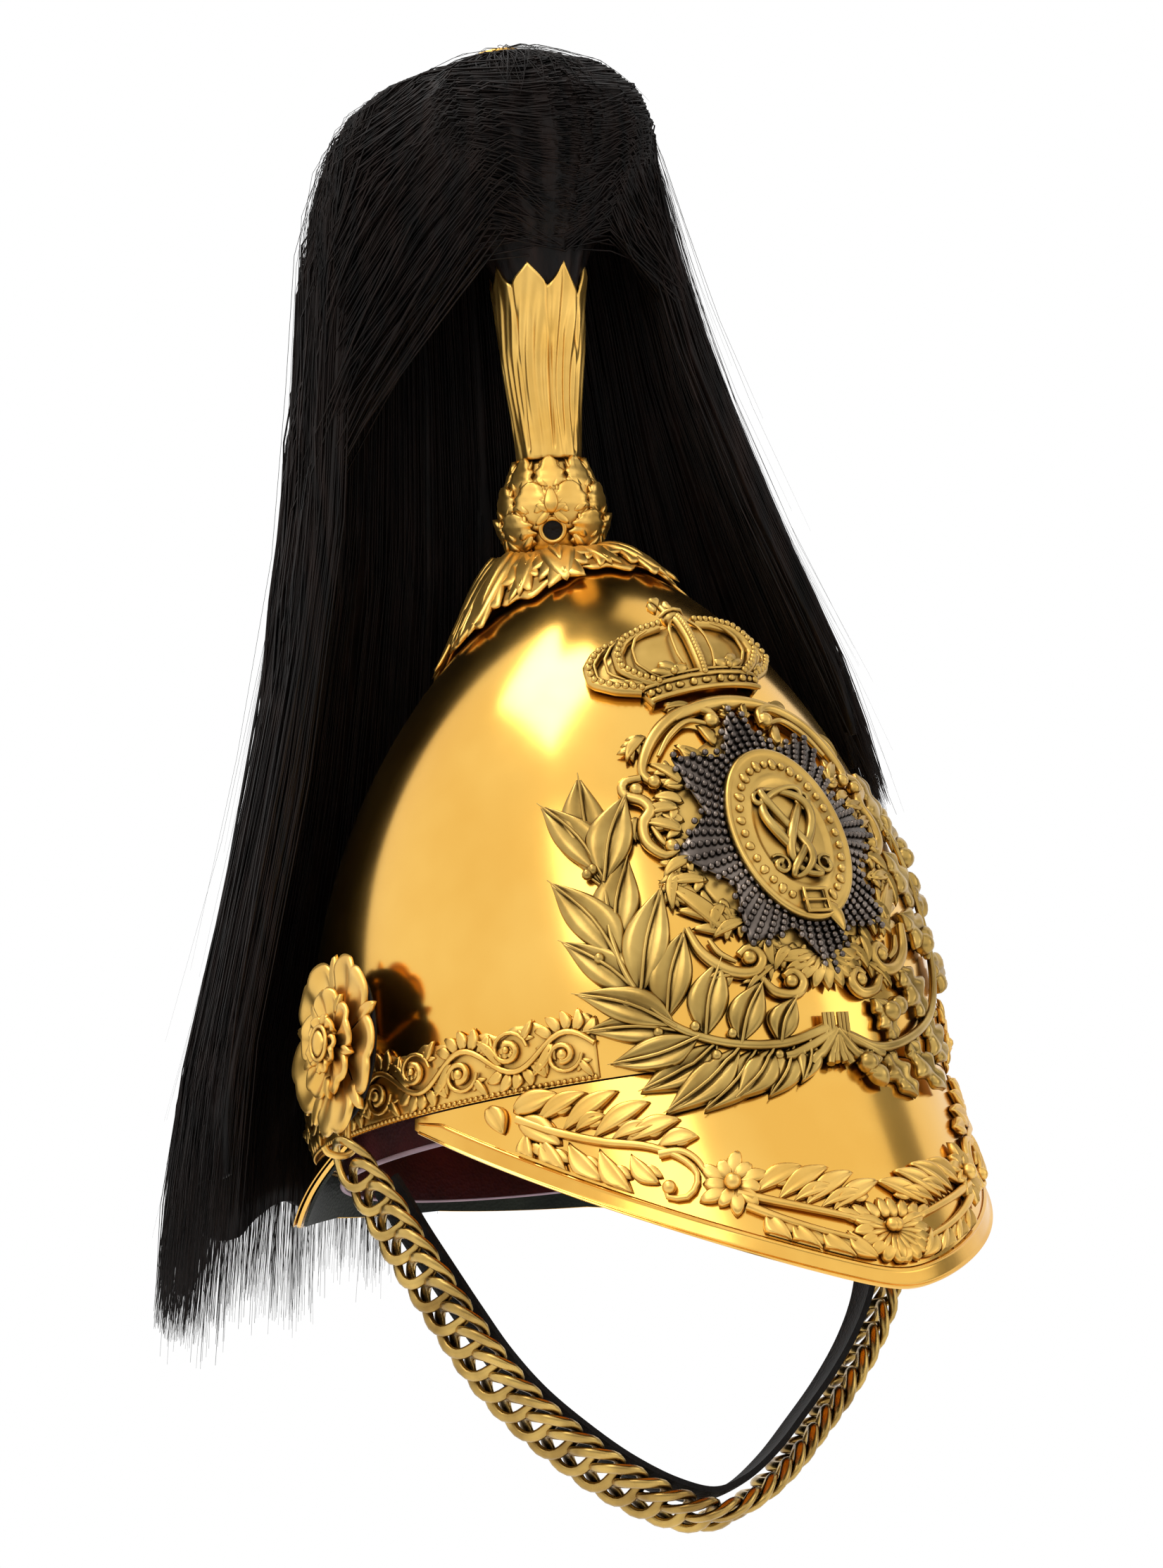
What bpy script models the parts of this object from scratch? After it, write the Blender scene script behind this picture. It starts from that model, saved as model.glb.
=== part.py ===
# Gilt dragoon helmet with a horsehair plume, plate, laurel wreath and chin chain.
# Metres, +Z up. The helmet faces -Y, so the wearer's right is -X. The origin is the
# middle of the opening, level with the lower edge of the headband.
import math

import bmesh
import bpy
from mathutils import Matrix, Vector

mm = 0.001

# Skull
skull_half_length = 113.5 * mm
skull_half_width = 90.7 * mm
skull_top = 175.3 * mm
skull_straight_wall = 14.0 * mm
skull_apex_forward = 13.5 * mm
skull_sheet = 1.2 * mm
length_rise = 1.6
length_root = 1.48
width_rise = 2.3
width_root = 1.43
clearance = 0.3 * mm

# Front peak and neck guard
peak_end_angle = math.radians(82)
peak_drop = 75.0 * mm
peak_drop_power = 1.09
peak_flare_side = 0.15
peak_flare_front = 0.33
peak_sheet = 1.2 * mm
guard_end_angle = math.radians(101)
guard_drop = 20.0 * mm
guard_flare = 0.45
rim_width = 8.0 * mm
rim_height = 1.1 * mm
lining_sheet = 1.0 * mm

# Headband and its leather
band_height = 22.0 * mm
band_thickness = 1.6 * mm
band_relief = 1.6 * mm
band_start = math.radians(52)
leather_sheet = 1.6 * mm
sweatband_top = 14.0 * mm
sweatband_drop = 9.0 * mm
sweatband_inset = 5.0 * mm

# Front ornament: heights above the origin, widths from the middle
star_height = 68.5 * mm
star_half_width = 37.0 * mm
star_half_height = 45.0 * mm
star_inner = 0.74
star_points = 8
star_sheet = 1.8 * mm
star_gap = 1.2 * mm
belt_half_width = 19.5 * mm
belt_half_height = 28.0 * mm
belt_sheet = 2.0 * mm
frame_half_width = 38.5 * mm
frame_half_height = 43.0 * mm
frame_scallop = 0.07
frame_opening = 0.62
frame_sheet = 2.2 * mm
leaf_thickness = 3.0 * mm
crown_height = star_height + frame_half_height * (1 + frame_scallop) + 2 * clearance
crown_tall = 28.0 * mm
crown_half_width = 27.0 * mm
crown_bulge = 11.0 * mm

# Plume base, ball and socket, on a stem that leans forward
stem_back = 4.5 * mm
stem_lean = math.radians(5.8)
base_top = 179.0 * mm
base_radius = 50.0 * mm
base_collar = 16.5 * mm
base_bore = 6.0 * mm
base_sheet = 2.4 * mm
ball_radius = 16.5 * mm
ball_tall = 31.0 * mm
socket_foot_radius = 10.5 * mm
socket_waist_radius = 11.5 * mm
socket_mouth_radius = 15.5 * mm
socket_tall = 62.0 * mm
socket_wall = 1.6 * mm
socket_tips = 9.0 * mm
socket_points = 8

# Plume
plume_top = 342.0 * mm
plume_reach = 158.0 * mm
plume_head_radius = 9.0 * mm
plume_core_radius = 8.0 * mm
plume_cap_radius = 22.0 * mm
plume_hair_depth = 20.0 * mm
plume_thin_depth = 5.5 * mm
plume_stand = 12.5 * mm
lock_tip = 10.0 * mm
lock_ridge = 2.2 * mm
rosette_radius = 9.0 * mm
rosette_tall = 3.0 * mm

# Side roses and the chin chain
rose_radius = 28.5 * mm
rose_depth = 5.0 * mm
rose_stand = 8.0 * mm
rose_height = 26.5 * mm
rose_back = 5.0 * mm
rose_tilt = math.radians(6)
rose_turn = math.radians(5)
stud_radius = 2.5 * mm
hook_wire = 1.1 * mm
hook_reach = 5.5 * mm
link_pitch = 9.4 * mm
link_half_width = 8.4 * mm
link_wire = 1.75 * mm
link_twist = math.radians(44)
link_bite = 0.7
link_sides = 5
link_steps = 6
chain_turn = math.radians(8)
strap_width = 13.0 * mm
strap_thickness = 2.0 * mm

# Half of the chin chain's route in millimetres, from below the wearer's right rose to the middle
chain_route = [
    (-95.0, 1.6, -20.0), (-90.4, -3.4, -35.0), (-85.0, -8.2, -49.5), (-78.4, -11.2, -63.5),
    (-69.8, -11.8, -77.0), (-58.6, -12.0, -90.0), (-45.4, -13.2, -102.0), (-31.0, -15.6, -113.5),
    (-15.5, -18.2, -122.5), (0.0, -19.0, -126.5),
]

finishes = {
    "gilt": ((0.86, 0.56, 0.16), 0.16, 1.0),
    "gilt_dull": ((0.66, 0.45, 0.16), 0.34, 1.0),
    "gilt_satin": ((0.84, 0.58, 0.22), 0.28, 1.0),
    "silver_dark": ((0.17, 0.17, 0.19), 0.38, 1.0),
    "chain_brass": ((0.50, 0.36, 0.16), 0.34, 1.0),
    "horsehair": ((0.012, 0.009, 0.008), 0.42, 0.0),
    "leather_black": ((0.018, 0.016, 0.015), 0.55, 0.0),
    "leather_maroon": ((0.07, 0.012, 0.014), 0.5, 0.0),
    "leather_green": ((0.02, 0.028, 0.02), 0.5, 0.0),
}


def clear_scene():
    for item in list(bpy.data.objects):
        bpy.data.objects.remove(item, do_unlink=True)


def material(name):
    found = bpy.data.materials.get(name)
    if found:
        return found
    color, roughness, metallic = finishes[name]
    found = bpy.data.materials.new(name)
    found.use_nodes = True
    shader = found.node_tree.nodes["Principled BSDF"]
    shader.inputs["Base Color"].default_value = (*color, 1.0)
    shader.inputs["Roughness"].default_value = roughness
    shader.inputs["Metallic"].default_value = metallic
    return found


def make_object(name, bm, finish, sharp=math.radians(40)):
    bmesh.ops.recalc_face_normals(bm, faces=bm.faces)
    mesh = bpy.data.meshes.new(name)
    bm.to_mesh(mesh)
    bm.free()
    mesh.materials.append(material(finish))
    mesh.shade_smooth()
    mesh.set_sharp_from_angle(angle=sharp)
    made = bpy.data.objects.new(name, mesh)
    bpy.context.scene.collection.objects.link(made)
    return made


# Two skins over one grid, joined by a wall along every free edge: the form of all sheet metal here.
def sheet(name, columns, rows, outer, inner, finish, closed=False, pole=False):
    bm = bmesh.new()
    skins = []
    for place in (outer, inner):
        grid = []
        for row in range(rows + 1):
            if pole and row == rows:
                grid.append([bm.verts.new(place(0.0, 1.0))] * (columns + 1))
                continue
            count = columns if closed else columns + 1
            line = [bm.verts.new(place(col / columns, row / rows)) for col in range(count)]
            if closed:
                line.append(line[0])
            grid.append(line)
        skins.append(grid)
    for grid in skins:
        for row in range(rows):
            for col in range(columns):
                ring = (grid[row][col], grid[row][col + 1], grid[row + 1][col + 1], grid[row + 1][col])
                bm.faces.new(tuple(dict.fromkeys(ring)))
    top, under = skins
    for row in (0,) if pole else (0, rows):
        for col in range(columns):
            bm.faces.new((top[row][col], top[row][col + 1], under[row][col + 1], under[row][col]))
    if not closed:
        for col in (0, columns):
            for row in range(rows):
                bm.faces.new((top[row][col], top[row + 1][col], under[row + 1][col], under[row][col]))
    return make_object(name, bm, finish)


# A disc of two skins: rings of points about a middle point.
def disc(name, steps, rings, outer, inner, finish):
    def flip(place):
        return lambda share, ring: place(share * 2 * math.pi, 1 - ring)
    return sheet(name, steps, rings, flip(outer), flip(inner), finish, closed=True, pole=True)


def tube(name, path, radii, sides, finish, closed=False, reference=None):
    bm = bmesh.new()
    count = len(path)
    rings = []
    side_dir = None
    for index in range(count):
        ahead = path[(index + 1) % count] if closed or index < count - 1 else path[index]
        behind = path[index - 1] if closed or index > 0 else path[index]
        along = (ahead - behind).normalized()
        if reference:
            side_dir = reference
        elif side_dir is None:
            side_dir = along.orthogonal().normalized()
        side_dir = (side_dir - along * side_dir.dot(along)).normalized()
        up_dir = along.cross(side_dir)
        ring = []
        for step in range(sides):
            turn = 2 * math.pi * step / sides
            offset = side_dir * math.cos(turn) + up_dir * math.sin(turn)
            ring.append(bm.verts.new(path[index] + offset * radii[index]))
        rings.append(ring)
    for index in range(count if closed else count - 1):
        one, two = rings[index], rings[(index + 1) % count]
        for step in range(sides):
            nxt = (step + 1) % sides
            bm.faces.new((one[step], one[nxt], two[nxt], two[step]))
    if not closed:
        bm.faces.new(rings[0])
        bm.faces.new(rings[-1])
    return make_object(name, bm, finish)


# Joins overlapping solids into one closed body.
def fuse(name, pieces):
    while len(pieces) > 1:
        merged = []
        for first, second in zip(pieces[::2], pieces[1::2]):
            union = first.modifiers.new("union", "BOOLEAN")
            union.operation = "UNION"
            union.solver = "EXACT"
            union.use_self = True
            union.object = second
            graph = bpy.context.evaluated_depsgraph_get()
            mesh = bpy.data.meshes.new_from_object(first.evaluated_get(graph))
            first.modifiers.clear()
            first.data = mesh
            bpy.data.objects.remove(second, do_unlink=True)
            merged.append(first)
        if len(pieces) % 2:
            merged.append(pieces[-1])
        pieces = merged
    pieces[0].name = name
    pieces[0].data.name = name
    return pieces[0]


# Puts solids that don't touch each other into one mesh.
def gather(name, pieces):
    bm = bmesh.new()
    for piece in pieces:
        bm.from_mesh(piece.data)
    kept = pieces[0]
    bm.to_mesh(kept.data)
    bm.free()
    for piece in pieces[1:]:
        bpy.data.objects.remove(piece, do_unlink=True)
    kept.name = name
    return kept


def smooth_path(points, count):
    points = [points[0] * 2 - points[1]] + points + [points[-1] * 2 - points[-2]]
    spans = len(points) - 3
    dense = []
    for step in range(spans * 12 + 1):
        at = min(step / 12, spans - 1e-9)
        index = int(at)
        t = at - index
        a, b, c, d = points[index:index + 4]
        dense.append(0.5 * (2 * b + (c - a) * t + (2 * a - 5 * b + 4 * c - d) * t ** 2
                            + (3 * b - a - 3 * c + d) * t ** 3))
    lengths = [0.0]
    for one, two in zip(dense, dense[1:]):
        lengths.append(lengths[-1] + (two - one).length)
    out = []
    index = 0
    for step in range(count):
        want = lengths[-1] * step / (count - 1)
        while index < len(lengths) - 2 and lengths[index + 1] < want:
            index += 1
        span = lengths[index + 1] - lengths[index]
        t = (want - lengths[index]) / span if span else 0.0
        out.append(dense[index].lerp(dense[index + 1], t))
    return out


# The skull: level rings, each an ellipse, that draw together and forward as they rise
def ring_at(z):
    rise = min(max((z - skull_straight_wall) / (skull_top - skull_straight_wall), 0.0), 0.99995)
    half_length = skull_half_length * (1 - rise ** length_rise) ** (1 / length_root)
    half_width = skull_half_width * (1 - rise ** width_rise) ** (1 / width_root)
    return half_length, half_width, -skull_apex_forward * rise ** 2


def skull_ring(angle, z):
    half_length, half_width, middle = ring_at(z)
    return Vector((-half_width * math.sin(angle), middle - half_length * math.cos(angle), z))


def ring_level(point):
    half_length, half_width, middle = ring_at(point.z)
    return (point.x / half_width) ** 2 + ((point.y - middle) / half_length) ** 2


def skull_normal(point):
    nudge = 0.2 * mm
    base = ring_level(point)
    slope = [(ring_level(point + Vector(axis) * nudge) - base) for axis in ((1, 0, 0), (0, 1, 0), (0, 0, 1))]
    return Vector(slope).normalized()


def lift_off(point, lift):
    return point + skull_normal(point) * lift


def on_ring(angle, z, lift):
    return lift_off(skull_ring(angle, z), lift)


def on_front(x, z, lift):
    half_length, half_width, middle = ring_at(z)
    side = min(abs(x) / half_width, 0.999)
    return lift_off(Vector((x, middle - half_length * math.sqrt(1 - side ** 2), z)), lift)


# The face the wreath lies on: the skull's front, and below the opening the peak
def on_face(x, z, lift):
    if z >= 0:
        return on_front(x, z, lift)
    angle = -math.asin(max(min(x / skull_half_width, 0.999), -0.999))
    return flared(angle, -z, peak_flare(angle), lift)


def on_top(x, y, lift):
    low, high = skull_straight_wall, skull_top
    for _ in range(30):
        mid = (low + high) / 2
        if ring_level(Vector((x, y, mid))) < 1:
            low = mid
        else:
            high = mid
    return lift_off(Vector((x, y, min(low, skull_top - 0.5 * mm))), lift)


def build_skull():
    columns, rows = 28, 9

    def level(share):
        up = (share * rows - 1) / (rows - 1)
        if up < 0:
            return 0.0
        return skull_straight_wall + (skull_top - skull_straight_wall) * math.sin(up * math.pi / 2)

    def outer(share, rise):
        if rise >= 1:
            return Vector((0, -skull_apex_forward, skull_top))
        return skull_ring(share * 2 * math.pi, level(rise))

    def inner(share, rise):
        if rise >= 1:
            return Vector((0, -skull_apex_forward, skull_top - 2.2 * skull_sheet))
        return on_ring(share * 2 * math.pi, level(rise), -skull_sheet)

    return sheet("skull", columns, rows, outer, inner, "gilt", closed=True, pole=True)


def between(xs, ys, at):
    for index in range(len(xs) - 1):
        low, high = xs[index], xs[index + 1]
        if min(low, high) <= at <= max(low, high):
            t = (at - low) / (high - low)
            return ys[index] + (ys[index + 1] - ys[index]) * t
    return ys[-1] if abs(at - xs[-1]) < abs(at - xs[0]) else ys[0]


# Peak and guard hang from the rim: drop is how far each point lies below it
def flared(angle, drop, flare, lift):
    base = skull_ring(angle, 0.0)
    out = Vector((base.x / skull_half_width ** 2, base.y / skull_half_length ** 2, 0)).normalized()
    face = (out + Vector((0, 0, flare))).normalized()
    return base + out * (drop * flare) - Vector((0, 0, drop)) + face * lift


def peak_edge(angle):
    blunt = math.radians(5)
    spread = math.sqrt(angle ** 2 + blunt ** 2) - blunt * 0.6
    return peak_drop * max(1 - (spread / peak_end_angle) ** peak_drop_power, 0.02)


def peak_flare(angle):
    return peak_flare_side + (peak_flare_front - peak_flare_side) * math.cos(angle) ** 4


def on_peak(side, share, lift):
    angle = side * peak_end_angle * 0.985
    start = 2 * clearance
    drop = start + (peak_edge(angle) - start) * share
    return flared(angle, drop, peak_flare(angle), lift)


def build_peak():
    def outer(across, down):
        return on_peak(2 * across - 1, down, 0.0)

    def inner(across, down):
        return on_peak(2 * across - 1, down, -peak_sheet)
    return sheet("front_peak", 24, 3, outer, inner, "gilt")


def rim_share(edge):
    return max(1 - rim_width / edge, 0.35)


def build_peak_rim():
    def skin(lift_low, lift_high):
        def place(across, down):
            side = 2 * across - 1
            edge = peak_edge(side * peak_end_angle)
            inner_share = rim_share(edge)
            share = inner_share + (1 - inner_share) * down
            return on_peak(side * 0.97, share, lift_low + (lift_high - lift_low) * (0.4 + 0.6 * down))
        return place
    return sheet("peak_rim", 24, 1, skin(clearance, clearance + rim_height), skin(clearance, clearance),
                 "gilt")


# The guard's edge from the middle of the back to its front end, as a share of its drop
guard_table = {
    "side": (0.0, 0.38, 0.55, 0.67, 0.81, 0.93, 1.0),
    "drop": (0.52, 0.66, 0.86, 1.0, 0.58, 0.26, 0.05),
}


def guard_edge(turn):
    side = min(abs(turn) / (math.pi - guard_end_angle), 1.0)
    return guard_drop * between(guard_table["side"], guard_table["drop"], side)


def on_guard(side, share, lift):
    turn = side * (math.pi - guard_end_angle)
    start = 2 * clearance
    drop = start + (guard_edge(turn) - start) * share
    return flared(math.pi + turn, drop, guard_flare, lift)


def build_guard():
    def outer(across, down):
        return on_guard(2 * across - 1, down, 0.0)

    def inner(across, down):
        return on_guard(2 * across - 1, down, -peak_sheet)
    return sheet("neck_guard", 20, 2, outer, inner, "gilt")


def build_guard_rim():
    def skin(lift_low, lift_high):
        def place(across, down):
            side = (2 * across - 1) * 0.98
            edge = guard_edge(side * (math.pi - guard_end_angle))
            inner_share = max(1 - 0.4 * rim_width / edge, 0.4)
            share = inner_share + (1 - inner_share) * down
            return on_guard(side, share, lift_low + (lift_high - lift_low) * (0.4 + 0.6 * down))
        return place
    return sheet("guard_rim", 20, 1, skin(clearance, clearance + rim_height), skin(clearance, clearance),
                 "gilt")


def build_linings():
    top = -peak_sheet - 2.4 * clearance
    under = top - lining_sheet

    def peak_skin(lift):
        return lambda across, down: on_peak((2 * across - 1) * 0.94, 0.04 + 0.92 * down, lift)

    def guard_skin(lift):
        return lambda across, down: on_guard((2 * across - 1) * 0.95, 0.05 + 0.9 * down, lift)
    sheet("peak_lining", 16, 1, peak_skin(top), peak_skin(under), "leather_green")
    sheet("guard_lining", 14, 1, guard_skin(top), guard_skin(under), "leather_green")


def build_sweatband():
    def skin(inset):
        def place(share, rise):
            angle = share * 2 * math.pi
            z = -sweatband_drop + (sweatband_top + sweatband_drop) * rise
            base = skull_ring(angle, 0.0)
            out = Vector((base.x, base.y, 0)).normalized()
            draw = inset + sweatband_inset * math.cos(rise * math.pi / 2)
            return Vector((base.x, base.y, z)) - out * draw
        return place
    near = skull_sheet + 2 * clearance
    return sheet("sweatband", 28, 2, skin(near), skin(near + leather_sheet), "leather_maroon", closed=True)


# Two halves of the headband, in raised foliage, which meet behind and end at the wreath
def build_headband(name, sign):
    start, end = band_start, math.pi - 0.4 * mm / skull_half_length
    columns = 28

    def angle_at(share):
        return sign * (start + (end - start) * share)

    def outer(share, rise):
        wave = math.sin(share * columns * math.pi / 2 + rise * 2.4)
        swell = math.sin(rise * math.pi)
        top = band_height * (1 + 0.07 * math.sin(share * columns * math.pi / 2))
        lift = clearance + band_thickness * (0.55 + 0.45 * swell) + band_relief * swell * max(wave, 0)
        return on_ring(angle_at(share), 0.6 * mm + top * rise, lift)

    def inner(share, rise):
        top = band_height * (1 + 0.07 * math.sin(share * columns * math.pi / 2))
        return on_ring(angle_at(share), 0.6 * mm + top * rise, clearance)
    return sheet(name, columns, 2, outer, inner, "gilt_satin")


# Leaves are charted in the front view: x across and z up, both in metres
wreath_unit = skull_half_width / 90


def leaf(name, root, tip, width, lift, finish, place=on_face, thickness=leaf_thickness):
    along = Vector((tip[0] - root[0], tip[1] - root[1]))
    across = Vector((-along.y, along.x)).normalized()
    stations = ((0.0, 0.16), (0.45, 0.95), (1.0, 0.05))

    def outer(share, down):
        at = [row[0] for row in stations]
        wide = [row[1] for row in stations]
        index = round(down * (len(stations) - 1))
        reach = (2 * share - 1) * wide[index] * width / 2
        spot = Vector(root) + along * at[index] + across * reach
        ridge = 1 - abs(2 * share - 1) * 0.55
        rise = lift + thickness * ridge * (0.65 + 0.35 * math.sin(at[index] * math.pi))
        return place(spot.x, spot.y, rise)

    def inner(share, down):
        index = round(down * (len(stations) - 1))
        reach = (2 * share - 1) * stations[index][1] * width / 2
        spot = Vector(root) + along * stations[index][0] + across * reach
        return place(spot.x, spot.y, lift)
    return sheet(name, 2, len(stations) - 1, outer, inner, finish)


def branch(name, sign, stem_points, leaves, finish):
    path = [Vector((sign * x, z)) * wreath_unit for x, z in stem_points]
    count = 9
    line = smooth_path([p.to_3d() for p in path], count)
    foot = clearance + 2.0 * mm
    solid = [on_face(p.x, p.y, foot) for p in line]
    radii = [1.7 * mm - 0.7 * mm * i / (count - 1) for i in range(count)]
    pieces = [tube(name, solid, radii, 6, finish)]
    for index, (along, tip_x, tip_z, wide) in enumerate(leaves):
        place = along * (count - 1)
        root = line[int(place)].lerp(line[int(place) + 1], place % 1)
        tip = (sign * tip_x * wreath_unit, tip_z * wreath_unit)
        lift = clearance + (index % 3) * 0.37 * mm
        pieces.append(leaf(f"{name}_{index}", root.xy, tip, wide * wreath_unit, lift, finish))
    return fuse(name, pieces)


# In wreath units, ninetieths of the skull's half width: the stems, and each leaf's share along
# the stem, tip across, tip up and width
laurel_stem = [(3, 8), (18, 4), (36, 7), (50, 16), (58, 30), (60, 48), (58, 66), (54, 78)]
laurel_leaves = [
    (0.958, 51, 96, 9), (0.933, 43, 89, 8.5), (0.908, 63, 88, 8.5),
    (0.808, 50, 72, 9.5), (0.783, 67, 62, 9), (0.708, 69, 46, 9), (0.683, 46, 54, 10),
    (0.598, 42, 41, 10), (0.573, 66, 25, 9.5), (0.448, 61, 8, 10), (0.423, 36, 27, 10.5),
    (0.328, 54, -5, 10), (0.303, 27, 19, 10), (0.248, 44, -12, 10), (0.188, 33, -13, 9.5),
    (0.118, 24, -12, 9), (0.078, 15, -9, 8),
]
oak_stem = [(3, 6), (16, 2), (32, 6), (46, 15), (55, 30), (58, 48), (56, 66), (52, 76)]
oak_leaves = [
    (0.958, 48, 92, 14), (0.918, 64, 82, 13), (0.768, 68, 56, 14), (0.743, 44, 64, 14),
    (0.618, 41, 44, 14), (0.593, 67, 28, 14), (0.408, 57, 2, 14), (0.383, 31, 26, 14),
    (0.258, 42, -10, 13), (0.168, 26, -13, 12), (0.078, 12, -10, 9),
]


def build_wreath():
    branch("laurel_branch", -1, laurel_stem, laurel_leaves, "gilt_dull")
    branch("oak_branch", 1, oak_stem, oak_leaves, "gilt_dull")


def front_disc(name, steps, rings, radius_x, radius_z, low, high, finish, middle_z=star_height, bore=0.0):
    def skin(lift):
        def place(turn, ring):
            reach = bore + (1 - bore) * ring
            x = radius_x(turn) * reach * math.sin(turn)
            z = middle_z + radius_z(turn) * reach * math.cos(turn)
            return on_front(x, z, lift(turn, ring))
        return place
    if bore:
        def flip(place):
            return lambda share, ring: place(share * 2 * math.pi, ring)
        return sheet(name, steps, rings, flip(skin(high)), flip(skin(low)), finish, closed=True)
    return disc(name, steps, rings, skin(high), skin(low), finish)


def build_plate():
    frame_low = 2.6 * clearance
    frame_top = frame_low + frame_sheet
    star_low = frame_top + star_gap
    star_top = star_low + star_sheet
    belt_low = star_top + 2 * clearance
    belt_top = belt_low + belt_sheet

    def scallop(turn):
        return 1 + frame_scallop * math.cos(turn * 10)

    def frame_swell(turn, ring):
        return frame_top + 0.8 * mm * ring * (0.5 + 0.5 * math.cos(turn * 10))
    front_disc("plate_frame", 30, 1, lambda t: frame_half_width * scallop(t),
               lambda t: frame_half_height * scallop(t), lambda t, r: frame_low, frame_swell,
               "gilt_dull", bore=frame_opening)

    def ray(turn):
        phase = (turn * star_points / (2 * math.pi)) % 1.0
        return star_inner + (1 - star_inner) * abs(2 * phase - 1)
    front_disc("star", star_points * 4, 2, lambda t: star_half_width * ray(t),
               lambda t: star_half_height * ray(t), lambda t, r: star_low,
               lambda t, r: star_top - 0.7 * mm * r, "silver_dark")

    def belt_lift(turn, ring):
        return belt_top if 0.3 < ring < 0.95 else belt_top - 0.8 * mm
    front_disc("belt", 20, 2, lambda t: belt_half_width, lambda t: belt_half_height,
               lambda t, r: belt_low, belt_lift, "gilt_dull")
    scroll = []
    for step in range(17):
        turn = step / 16 * 3.2 * math.pi
        reach = (4.0 + 6.5 * step / 16) * mm
        scroll.append(on_front(reach * math.sin(turn), star_height + 1.25 * reach * math.cos(turn),
                               belt_top + clearance + 0.9 * mm))
    tube("scroll_emblem", scroll, [1.0 * mm] * len(scroll), 5, "gilt_dull")


# The crown's height bulges forward, so it is charted by height share and angle across
def build_crown():
    columns, rows = 10, 5
    profile = ((0.0, 0.62, 0.10), (0.24, 0.68, 0.30), (0.52, 1.0, 0.60), (0.74, 0.94, 0.85),
               (0.90, 0.55, 1.0), (1.0, 0.12, 0.98))

    def outer(across, rise):
        height, wide, bulge = profile[round(rise * rows)]
        side = 2 * across - 1
        x = crown_half_width * wide * math.sin(side * math.pi / 2)
        round_out = math.cos(side * math.pi / 2)
        ribs = 0.12 * abs(math.sin(side * math.pi * 1.5))
        lift = clearance + 1.5 * mm + crown_bulge * (0.15 + bulge * round_out * (0.9 - ribs)) * 0.75
        return on_front(x, crown_height + crown_tall * height, lift)

    def inner(across, rise):
        height, wide, _ = profile[round(rise * rows)]
        x = crown_half_width * wide * math.sin((2 * across - 1) * math.pi / 2)
        return on_front(x, crown_height + crown_tall * height, clearance)
    body = sheet("crown", columns, rows, outer, inner, "gilt_dull")
    top = crown_height + crown_tall * 0.93
    orb = [on_front(0, top + step * 2.2 * mm, clearance + crown_bulge * 0.72) for step in range(4)]
    finial = tube("crown_orb", orb, [1.2 * mm, 3.4 * mm, 3.2 * mm, 1.0 * mm], 6, "gilt_dull")
    return fuse("crown", [body, finial])


# Sprays of leaf on the peak: charted by side (-1 to 1) and share of the drop
def peak_chart(x, y, lift):
    return on_peak(x, y, lift)


def build_peak_foliage(name, sign):
    path = [(0.06, 0.66), (0.22, 0.60), (0.38, 0.52), (0.54, 0.43), (0.68, 0.35), (0.76, 0.31)]
    count = 8
    line = smooth_path([Vector((sign * x, y, 0)) for x, y in path], count)
    foot = clearance + 1.7 * mm
    pieces = [tube(name, [peak_chart(p.x, p.y, foot) for p in line], [1.4 * mm] * count, 6, "gilt_satin")]
    number = 0
    for index in range(1, count, 1):
        p = line[index]
        room = rim_share(peak_edge(p.x * peak_end_angle)) - 0.07 - p.y
        fall = room * 0.8 if index % 2 else -0.36 * p.y
        tip = (p.x - sign * 0.042, p.y + fall)
        lift = clearance + (index % 3) * 0.31 * mm
        pieces.append(leaf(f"{name}_{number}", (p.x, p.y), tip, 0.085, lift, "gilt_satin",
                           place=peak_chart, thickness=2.2 * mm))
        number += 1
    return fuse(name, pieces)


def stem_point(x, y, up):
    foot = Vector((0, stem_back, base_top))
    lean = Matrix.Rotation(stem_lean, 4, "X")
    return foot + lean @ Vector((x, y, up))


def build_plume_base():
    steps, rings = 24, 3

    def reach(turn):
        return base_radius * (0.90 + 0.10 * math.cos(4 * turn) + 0.05 * math.cos(12 * turn))

    def radius(turn, ring):
        return base_bore + (reach(turn) - base_bore) * ring

    def inner(share, ring):
        turn = share * 2 * math.pi
        out = radius(turn, ring)
        return on_top(out * math.sin(turn), stem_back - out * math.cos(turn), 5.0 * clearance)

    def outer(share, ring):
        turn = share * 2 * math.pi
        out = radius(turn, ring)
        spot = on_top(out * math.sin(turn), stem_back - out * math.cos(turn), 5.0 * clearance + base_sheet)
        collar = max(0.0, 1 - max(out - base_collar, 0) / (0.45 * base_radius)) ** 1.6
        flat = stem_point(out * math.sin(turn), -out * math.cos(turn), -clearance)
        return spot.lerp(Vector((spot.x, spot.y, flat.z)), collar)
    return sheet("plume_base", steps, rings, outer, inner, "gilt_satin", closed=True)


def turned(name, profile, steps, finish, wobble=None):
    def place(share, rise):
        turn = share * 2 * math.pi
        radius, up = profile[round(rise * (len(profile) - 1))]
        if wobble:
            radius, up = wobble(turn, rise, radius, up)
        return stem_point(radius * math.sin(turn), -radius * math.cos(turn), up)
    bm = bmesh.new()
    rows = len(profile) - 1
    grid = [[bm.verts.new(place(col / steps, row / rows)) for col in range(steps)] for row in range(rows + 1)]
    for row in range(rows):
        for col in range(steps):
            nxt = (col + 1) % steps
            bm.faces.new((grid[row][col], grid[row][nxt], grid[row + 1][nxt], grid[row + 1][col]))
    bm.faces.new(grid[0])
    bm.faces.new(grid[-1])
    return make_object(name, bm, finish)


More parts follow.
